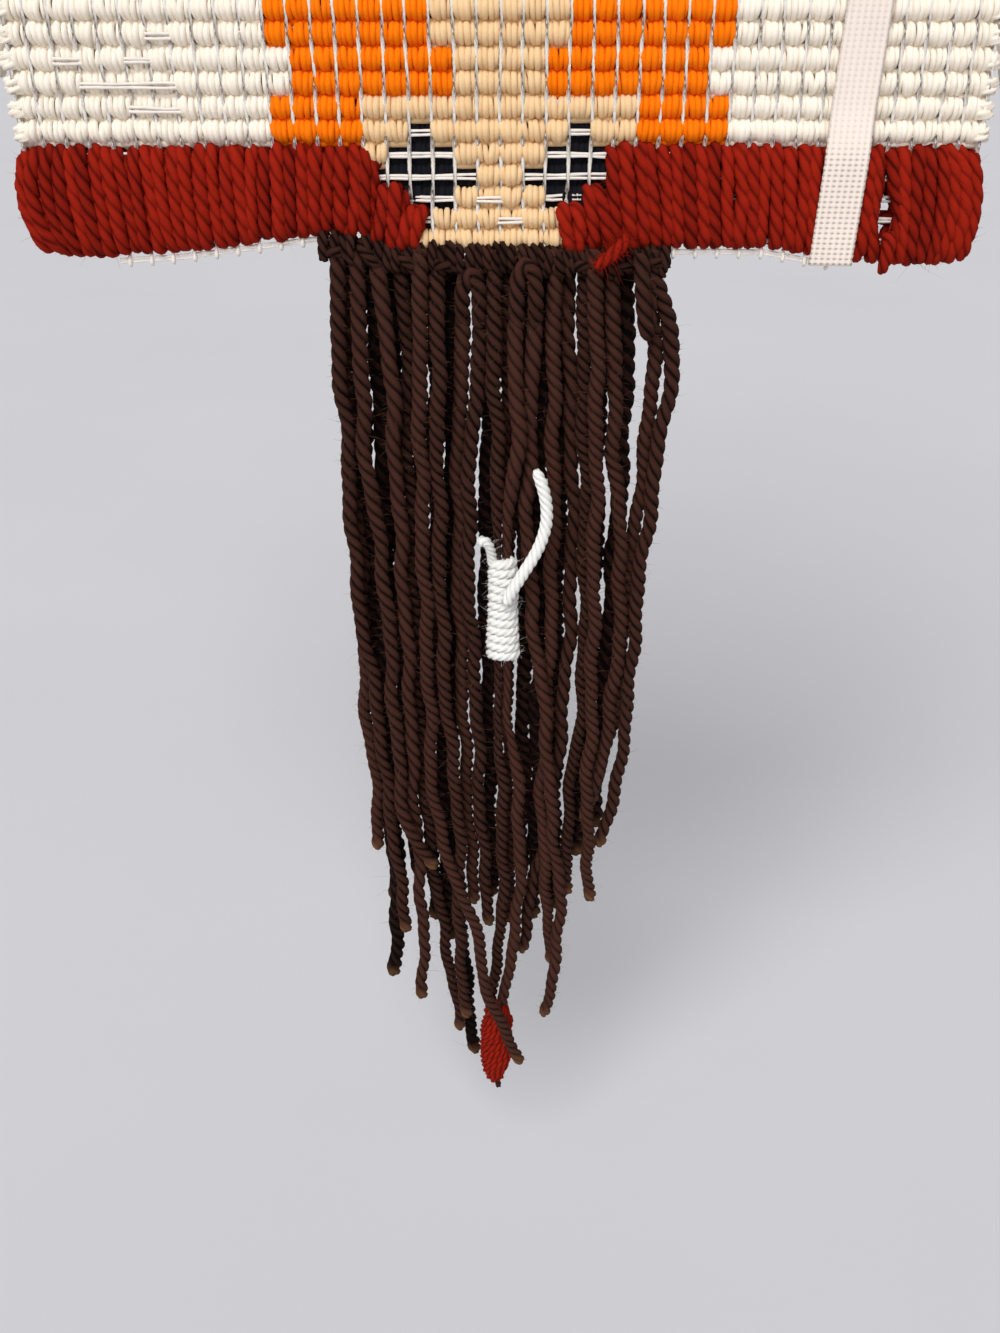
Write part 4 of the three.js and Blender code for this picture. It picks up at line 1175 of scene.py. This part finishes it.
def strand_lines():
    """The rows of the strand table as centre lines, parted from each other as hanging yarn is."""
    lines = []
    order = 0
    for depth, across, end, drop, bound in STRANDS:
        known = [(d, a) for d, a in zip(DROPS, across) if d < drop - 10] + [(drop, end)]
        known = np.array(known, float)
        curve = smooth_path(np.column_stack([known, np.zeros(len(known))]), 1.0)
        count = max(1, round(drop / SECTION))
        drops = np.linspace(0, drop, count + 1)
        x = np.interp(drops, curve[:, 0], curve[:, 1])
        z = ROOT_Z - drops
        settle = smoothstep(drops, 0, 30)
        follow = bend(x * MM, np.full(len(x), BOTTOM)) / MM * (1 - smoothstep(drops, 0, 90))
        y = follow + depth * (0.45 + 0.55 * settle)
        if len(lines) == CROSSING:
            y = y - COMES_FORWARD * smoothstep(drops, 215, 285)
            x = x - KINK["aside"] * np.exp(-(((drops - KINK["drop"]) / KINK["long"]) ** 2))
        radius = np.full(len(x), STRAND_RADIUS)
        held = np.zeros(len(x), bool)
        if bound:
            outside = np.maximum(0, np.maximum(z - TIE["top"] - SECTION, TIE["bottom"] - SECTION - z))
            hold = 1 - smoothstep(outside, 0, BOUND_EASE)
            x = x + (TIE["x"] + (BOUND_SPREAD if order else -BOUND_SPREAD) - x) * hold
            y = y + (TIE["y"] - y) * hold
            radius = radius + (BOUND_RADIUS - radius) * hold
            held = hold > 0.999
            order += 1
        line = {"x": x, "y": y, "z": z, "radius": radius, "held": held, "depth": depth, "bound": bound}
        lines.append(line)
    part_strands(lines)
    return lines


def part_strands(lines):
    """Moves strands apart at each height, mostly in depth, and clear of the two windings."""
    meets = []
    for i, line in enumerate(lines):
        for other in lines[i + 1:]:
            for p, z in enumerate(line["z"]):
                q = int(np.abs(other["z"] - z).argmin())
                if abs(other["z"][q] - z) < SECTION * 0.7 and abs(other["x"][q] - line["x"][p]) < 2 * APART:
                    meets.append((line, p, other, q))
    for _ in range(160):
        for line, p, other, q in meets:
            wanted = line["radius"][p] + other["radius"][q] + APART - 2 * STRAND_RADIUS
            dx, dy = other["x"][q] - line["x"][p], other["y"][q] - line["y"][p]
            apart = math.hypot(dx, dy)
            if apart >= wanted:
                continue
            push = (wanted - apart) / 2
            back = 1 if other["depth"] >= line["depth"] else -1
            mx, my = 0.3 * push * dx / apart, push * (abs(dy / apart) + 0.25) * back
            if not line["held"][p]:
                line["x"][p] -= mx
                line["y"][p] -= my
            if not other["held"][q]:
                other["x"][q] += mx
                other["y"][q] += my
        for line in lines:
            clear_windings(line)


def clear_windings(line):
    """Moves a strand out of the tie and the tip winding that other strands run into."""
    if line["bound"]:
        return
    for wound, reach in ((TIE, TIE["wide"]), (BULB, max(BULB_RADIUS))):
        near = (line["z"] < wound["top"] + 8) & (line["z"] > wound["bottom"] - 8)
        dx, dy = line["x"] - wound["x"], line["y"] - wound["y"]
        apart = np.hypot(dx, dy)
        short = np.where(near, np.maximum(0, reach + line["radius"] + 0.4 - apart), 0)
        line["x"] += dx / apart * short
        line["y"] += dy / apart * short


def leg_start(line):
    """Where a folded length's leg begins: its place across and in depth, and its height."""
    x, y = (np.interp(-LEGS_Z, -line["z"], line[axis]) for axis in ("x", "y"))
    return x, y, LEGS_Z


class MakeFringe(bpy.types.Operator):
    """Makes the brown fringe: its strands, and the knots along the canvas edge."""

    bl_idname = "hanging.make_fringe"
    bl_label = "Fringe"

    def execute(self, context):
        sizes, _ = settings()
        rng = np.random.default_rng(71)
        lines = strand_lines()
        folded = {side for arch in ARCHES for side in arch[:2]}
        parts = [self.strand(line, sizes, rng, index in folded) for index, line in enumerate(lines)]
        parts += [self.arch(lines[left], lines[right], top, sizes) for left, right, top in ARCHES]
        parts.append(self.slack_loop(sizes))
        strands = joined_mesh("fringe_strands", parts, yarn("brown"), 73)
        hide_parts("fringe")
        knots = joined_mesh("fringe_knots", self.knots(sizes.fringe_yarn / 2, rng), yarn("brown"), 79)
        fuzz = hairs("brown_fuzz", parts, yarn("brown_fibre"), sizes.loose_fibres, FIBRE, 83, 0.09 * MM)
        return {"FINISHED"}

    def strand(self, line, sizes, rng, folded):
        """One strand from its knot, or from below the head of its arch, to its end."""
        points = np.stack([line["x"], line["y"], line["z"]], -1)
        if folded:
            start = leg_start(line)
            points = points[line["z"] < LEGS_Z - 2]
        else:
            start = points[0] + (0, -1.2 - 0.45 * points[0][1], 6.2)
        points = np.vstack([start, points])
        radius = np.concatenate([line["radius"][:1], line["radius"]])[-len(points):]
        hidden = line["depth"] >= BEHIND
        path = smooth_path(points * MM, (2.2 if hidden else 1.6) * MM)
        along = np.linspace(0, 1, len(path))
        thick = np.interp(along, np.linspace(0, 1, len(radius)), radius)
        thick = thick / STRAND_RADIUS * sizes.fringe_yarn / 2
        down = path[0, 2] - path[:, 2]
        thick = thick * np.interp(down, (0, 12 * MM, 40 * MM, 350 * MM), (1.0, 1.06, 1.02, 0.93))
        path = path + self.sway(path, line, rng)
        thick = thick * (1 + 0.035 * np.sin(path[:, 2] / (7 * MM) + rng.uniform(0, TAU)))
        if hidden:
            thick = thick * BEHIND_THICKER
        if not line["bound"]:
            thick[-4:] *= (1.04, 1.1, 1.06, 0.8)
        twist = sizes.fringe_twist * rng.normal(1, 0.12)
        ply = PLY_FINE if hidden else PLY_FULL
        part = sweep(path[None], thick[None], ply, -twist, rng.uniform(0, TAU, 1), (0, 1, 0), plies=3)
        # Painted shade: the strands behind the others are coloured darker
        part["painted_shade"] = BEHIND_PAINTED_SHADE if hidden else 0
        near_end = smoothstep(part["points"][:, 2], path[-1, 2] + 7 * MM, path[-1, 2])
        part["tip"] = near_end * (not line["bound"])
        return with_middles(part, path[None])

    def arch(self, left, right, top, sizes):
        """The head of a folded length, which stands out in front of the knots between its two legs."""
        xa, ya, _ = leg_start(left)
        xb, yb, _ = leg_start(right)
        middle, front = (xa + xb) / 2, min(ya, yb) - 2.2
        under, side = LEGS_Z - 2, LEGS_Z + 7
        points = np.array([
            (xa, ya, under), (xa, front, side), (xa + 0.6, front - 0.8, top - 3.4), (middle, front - 1, top),
            (xb - 0.6, front - 0.8, top - 3.4), (xb, front, side), (xb, yb, under),
        ])
        path = smooth_path(points * MM, 1.4 * MM)
        thick = sizes.fringe_yarn / 2
        part = sweep(path[None], thick, PLY_FULL, -sizes.fringe_twist, ref=(0, 1, 0), plies=3)
        return with_middles(part, path[None])

    def slack_loop(self, sizes):
        """The short loop that hangs slack from the last knot on the right."""
        path = smooth_path(np.array(SLACK_LOOP) * MM, 1.6 * MM)
        thick = sizes.fringe_yarn / 2
        part = sweep(path[None], thick, PLY_FULL, -sizes.fringe_twist, ref=(1, 0, 0), plies=3)
        return with_middles(part, path[None])

    def sway(self, path, line, rng):
        """The small kinks of yarn that was wound up before it hung."""
        z = path[:, 2]
        free = smoothstep(path[0, 2] - z, 10 * MM, 50 * MM)
        if line["bound"]:
            free = free * smoothstep(np.abs(z / MM - (TIE["top"] + TIE["bottom"]) / 2), 25, 55)
            free = free * smoothstep(z - path[-1, 2], 0, 30 * MM)
        move = np.zeros_like(path)
        for wavelength, size in ((47, 0.6), (24, 0.35)):
            phase = rng.uniform(0, TAU, 2)
            move[:, 0] += size * MM * free * np.sin(TAU * z / (wavelength * MM) + phase[0])
            move[:, 1] += 0.5 * size * MM * free * np.sin(TAU * z / (wavelength * MM) + phase[1])
        return move

    def knots(self, thick, rng):
        """The yarn pressed together over the canvas edge, and the bars that cross some of it."""
        parts = []
        over, bar = np.array(OVER_EDGE), np.array(BAR)
        for index, middle in enumerate(np.linspace(*KNOT_STRIP, 2 * FRINGE_KNOTS + 1)):
            edge = float(whip_edge(middle * MM)) / MM
            height = KNOT_HEIGHT + EDGE_SHARE * (edge - EDGE_LEVEL) + rng.normal(0, 0.5)
            base = np.array([middle + rng.normal(0, 0.5), float(bend(middle * MM, BOTTOM)) / MM, height])
            lean = np.linspace(-1, 1, len(over))[:, None] * (rng.normal(0, 1.2), 0, 0)
            line = smooth_path((base + over + lean) * MM, 1.3 * MM)
            size = thick * rng.normal(0.66, 0.06)
            phase = rng.uniform(0, TAU, 1)
            part = sweep(line[None], size, PLY_FULL, TWIST["knot"], phase, ref=(1, 0, 0), plies=3)
            # Painted shade: the knots under the hem's edge are coloured darker
            parts.append({**part, "painted_shade": 2.5})
            if index % 4 == 1 and abs(middle) > 16:
                tilt = rng.normal(0, 2.4) * np.linspace(-1, 1, len(bar))[:, None] * (0, 0, 1)
                line = smooth_path((base + bar + tilt) * MM, 1.3 * MM)
                phase = rng.uniform(0, TAU, 1)
                part = sweep(line[None], size, PLY_FULL, TWIST["bar"], phase, ref=(0, 0, 1), plies=3)
                # Painted shade, as on the knots
                parts.append({**part, "painted_shade": 2.5})
        return parts


def winding(wound, radius_at, rng):
    """Yarn wound round the vertical: a helix whose radius follows a profile, and whose turns lean."""
    turns, thick = wound["turns"], wound["yarn"]
    t = np.linspace(0, 1, turns * TURN_STEPS + 1)
    theta = TAU * turns * t
    z = wound["bottom"] + thick + (wound["top"] - wound["bottom"] - 2 * thick) * t
    every = np.linspace(0, 1, turns + 1)
    slow = np.interp(t, every, rng.normal(0, wound["uneven"], turns + 1))
    leaning = wound["lean"] * np.interp(t, every, rng.normal(1, 0.35, turns + 1)) * smoothstep(t, 0, 0.1)
    leaning = leaning * (1 - smoothstep(t, 0.9, 1))
    wide, deep = radius_at(z)
    x = wound["x"] + (wide - thick + slow) * np.cos(theta)
    y = wound["y"] + (deep - thick + slow) * np.sin(theta)
    return np.stack([x, y, z + leaning * np.cos(theta)], -1) * MM


class MakeTie(bpy.types.Operator):
    """Makes the white yarn wound round two strands, with its short stub."""

    bl_idname = "hanging.make_tie"
    bl_label = "Tie winding"

    def execute(self, context):
        rng = np.random.default_rng(97)
        thick = TIE["yarn"]
        line = winding(TIE, self.profile, rng)
        turns = sweep(line[None], thick * 1.1 * MM, PLY_FINE, TWIST["winding"], ref=(0, 0, 1))
        turns = with_middles(turns, line[None])
        stub_line = smooth_path(np.array(TIE_STUB) * MM, 0.9 * MM)
        thickness = np.full(len(stub_line), thick * MM)
        thickness[-4:] *= (1.05, 1.15, 1.1, 0.7)
        short = sweep(stub_line[None], thickness[None], PLY_FINE, TWIST["winding"], ref=(0, 1, 0))
        short = with_middles(short, stub_line[None])
        piece = joined_mesh("tie_turns", [turns, short], yarn("white"), 5)
        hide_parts("tie_wrap")
        fuzz = hairs("white_fuzz", [turns, short], yarn("white"), 1500, FIBRE, 101)
        return {"FINISHED"}

    def profile(self, z):
        """The tie's half widths, across and in depth, at heights in mm."""
        share = (z - TIE["bottom"]) / (TIE["top"] - TIE["bottom"])
        swell = np.interp(share, TIE_SHARE, TIE_SWELL)
        return TIE["wide"] * swell, TIE["deep"] * swell


class MakeTip(bpy.types.Operator):
    """Makes the red winding round the lowest ends, with the brown end that shows below it."""

    bl_idname = "hanging.make_tip"
    bl_label = "Tip winding"

    def execute(self, context):
        rng = np.random.default_rng(103)
        line = winding(BULB, self.profile, rng)
        turns = sweep(line[None], BULB["yarn"] * 1.08 * MM, PLY_FINE, TWIST["winding"], ref=(0, 0, 1))
        turns = with_middles(turns, line[None])
        z = np.linspace(BULB["bottom"] + 1.5, BULB["top"] - 1, 14)
        core_line = np.stack([np.full(14, BULB["x"]), np.full(14, BULB["y"]), z], -1) * MM
        inside = (self.profile(z)[0] - 2.0)[None] * MM
        core = sweep(core_line[None], inside, ROUND, TWIST["winding"], ref=(1, 0, 0), plies=12)
        piece = joined_mesh("tip_turns", [turns, core], yarn("red"), 5)
        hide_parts("tip_wrap")
        fuzz = hairs("tip_fuzz", [turns], yarn("red"), 700, FIBRE, 107)
        end_line = smooth_path(np.array(TIP_END) * MM, 1.4 * MM)
        thickness = np.linspace(2.1, 1.3, len(end_line)) * MM
        brown_end = sweep(end_line[None], thickness[None], PLY_FINE, TWIST["loose"], ref=(0, 1, 0))
        tip = joined_mesh("tip_ends", [brown_end], yarn("brown"), 5)
        return {"FINISHED"}

    def profile(self, z):
        """The tip's half widths at heights in mm, no less than its strand ends need."""
        down = (BULB["top"] - z) / (BULB["top"] - BULB["bottom"])
        radius = np.interp(down, BULB_DOWN, BULB_RADIUS)
        return np.maximum(radius, 2.6), np.maximum(radius, 2.6)


class MakeTape(bpy.types.Operator):
    """Makes the flat woven tape down the right side."""

    bl_idname = "hanging.make_tape"
    bl_label = "Tape"

    def execute(self, context):
        _, tints = settings()
        width = TAPE_WIDE
        across = np.linspace(-width / 2, width / 2, 13)
        z = np.linspace(TAPE_TOP, TAPE_END, 319)
        middle = TAPE_X - TAPE_LEAN * (z / BOTTOM) ** 2
        over = smoothstep(-z, -FIELD_BOTTOM - 12 * MM, -FIELD_BOTTOM + 6 * MM)
        lift = TAPE_ON_KNOTS + (TAPE_ON_WHIP - TAPE_ON_KNOTS) * over
        scallop = 1 + 0.02 * np.sin(TAU * z / (2.5 * MM))[:, None] * (np.abs(across) > width / 2 - 0.5 * MM)
        xs = middle[:, None] + across * scallop
        zs = np.broadcast_to(z[:, None], xs.shape)
        ripple = 0.25 * MM * np.sin(TAU * z / (37 * MM))[:, None] * np.cos(math.pi * across / width)[None]
        rim = 0.12 * MM * (np.abs(across) > width / 2 - 1 * MM)
        near = bend(xs, zs) - lift[:, None] - TAPE_THICK - ripple - rim
        far = bend(xs, zs) - lift[:, None] - ripple
        flat = np.stack(np.broadcast_arrays(across[None], z[:, None]), -1) / MM
        part = self.grid(np.stack([xs, near, zs], -1), np.stack([xs, far, zs], -1), flat)
        tape = joined_mesh("tape_cloth", [part], self.material(tints), 5)
        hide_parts("tape")
        return {"FINISHED"}

    def material(self, tints):
        """The tape's cotton."""
        lit = tuple(tints.tape)
        # The deeper colour is the tape in the painted shade of its openings, and where its stains reach at
        # their darkest
        return cloth_material("tape_cotton", lit, deeper(lit, 0.45, (1, 0.93, 0.84)), TAPE_CORD, TAPE_RUNG)

    def grid(self, near, far, flat):
        """A closed thin sheet between two grids of points, with its flat places as uvs."""
        rows, columns = near.shape[:2]
        index = np.arange(2 * rows * columns).reshape(2, rows, columns)

        def quads(a):
            return np.stack([a[:-1, :-1], a[1:, :-1], a[1:, 1:], a[:-1, 1:]], -1).reshape(-1, 4)

        def rim(a, b):
            return np.stack([a[:-1], b[:-1], b[1:], a[1:]], -1)

        n, f = index
        faces = [quads(n), quads(f)[:, ::-1], rim(n[:, 0], f[:, 0]), rim(f[:, -1], n[:, -1])]
        faces += [rim(f[0], n[0]), rim(n[-1], f[-1])]
        faces = np.concatenate(faces)
        points = np.concatenate([near.reshape(-1, 3), far.reshape(-1, 3)])
        laid = np.concatenate([flat.reshape(-1, 2)] * 2)
        return {
            "points": points,
            "faces": [faces],
            "uvs": [laid[faces.reshape(-1)]],
            "groove": np.zeros(len(points)),
            "tubes": 1,
        }


PIECES = (
    MakeStage, MakeTail, MakeKnots, MakeCanvas, MakePile,
    MakeWhipping, MakeFringe, MakeTie, MakeTip, MakeTape,
)


class HangingPanel(bpy.types.Panel):
    """Lists the sizes, the colours and the pieces of the hanging."""

    bl_label = "Wall Hanging"
    bl_idname = "VIEW3D_PT_hanging"
    bl_space_type = "VIEW_3D"
    bl_region_type = "UI"
    bl_category = "Hanging"

    def draw(self, context):
        """Draws a field for each setting and a button for each piece."""
        for group in (context.scene.hanging_sizes, context.scene.hanging_colours):
            column = self.layout.column(align=True)
            for name in group.__annotations__:
                column.prop(group, name)
        for piece in PIECES:
            self.layout.operator(piece.bl_idname)


CLASSES = (HangingSizes, HangingColours, *PIECES, HangingPanel)


def register():
    """Makes the classes and the settings known to Blender."""
    for item in CLASSES:
        bpy.utils.register_class(item)
    bpy.types.Scene.hanging_sizes = PointerProperty(type=HangingSizes)
    bpy.types.Scene.hanging_colours = PointerProperty(type=HangingColours)


def unregister():
    """Takes the settings and the classes out again."""
    del bpy.types.Scene.hanging_colours
    del bpy.types.Scene.hanging_sizes
    for item in reversed(CLASSES):
        bpy.utils.unregister_class(item)


def main():
    """Registers the classes and makes every piece."""
    register()
    bpy.ops.hanging.make_stage()
    bpy.ops.hanging.make_tail()
    bpy.ops.hanging.make_knots()
    bpy.ops.hanging.make_canvas()
    bpy.ops.hanging.make_pile()
    bpy.ops.hanging.make_whipping()
    bpy.ops.hanging.make_fringe()
    bpy.ops.hanging.make_tie()
    bpy.ops.hanging.make_tip()
    bpy.ops.hanging.make_tape()


if __name__ == "__main__":
    main()
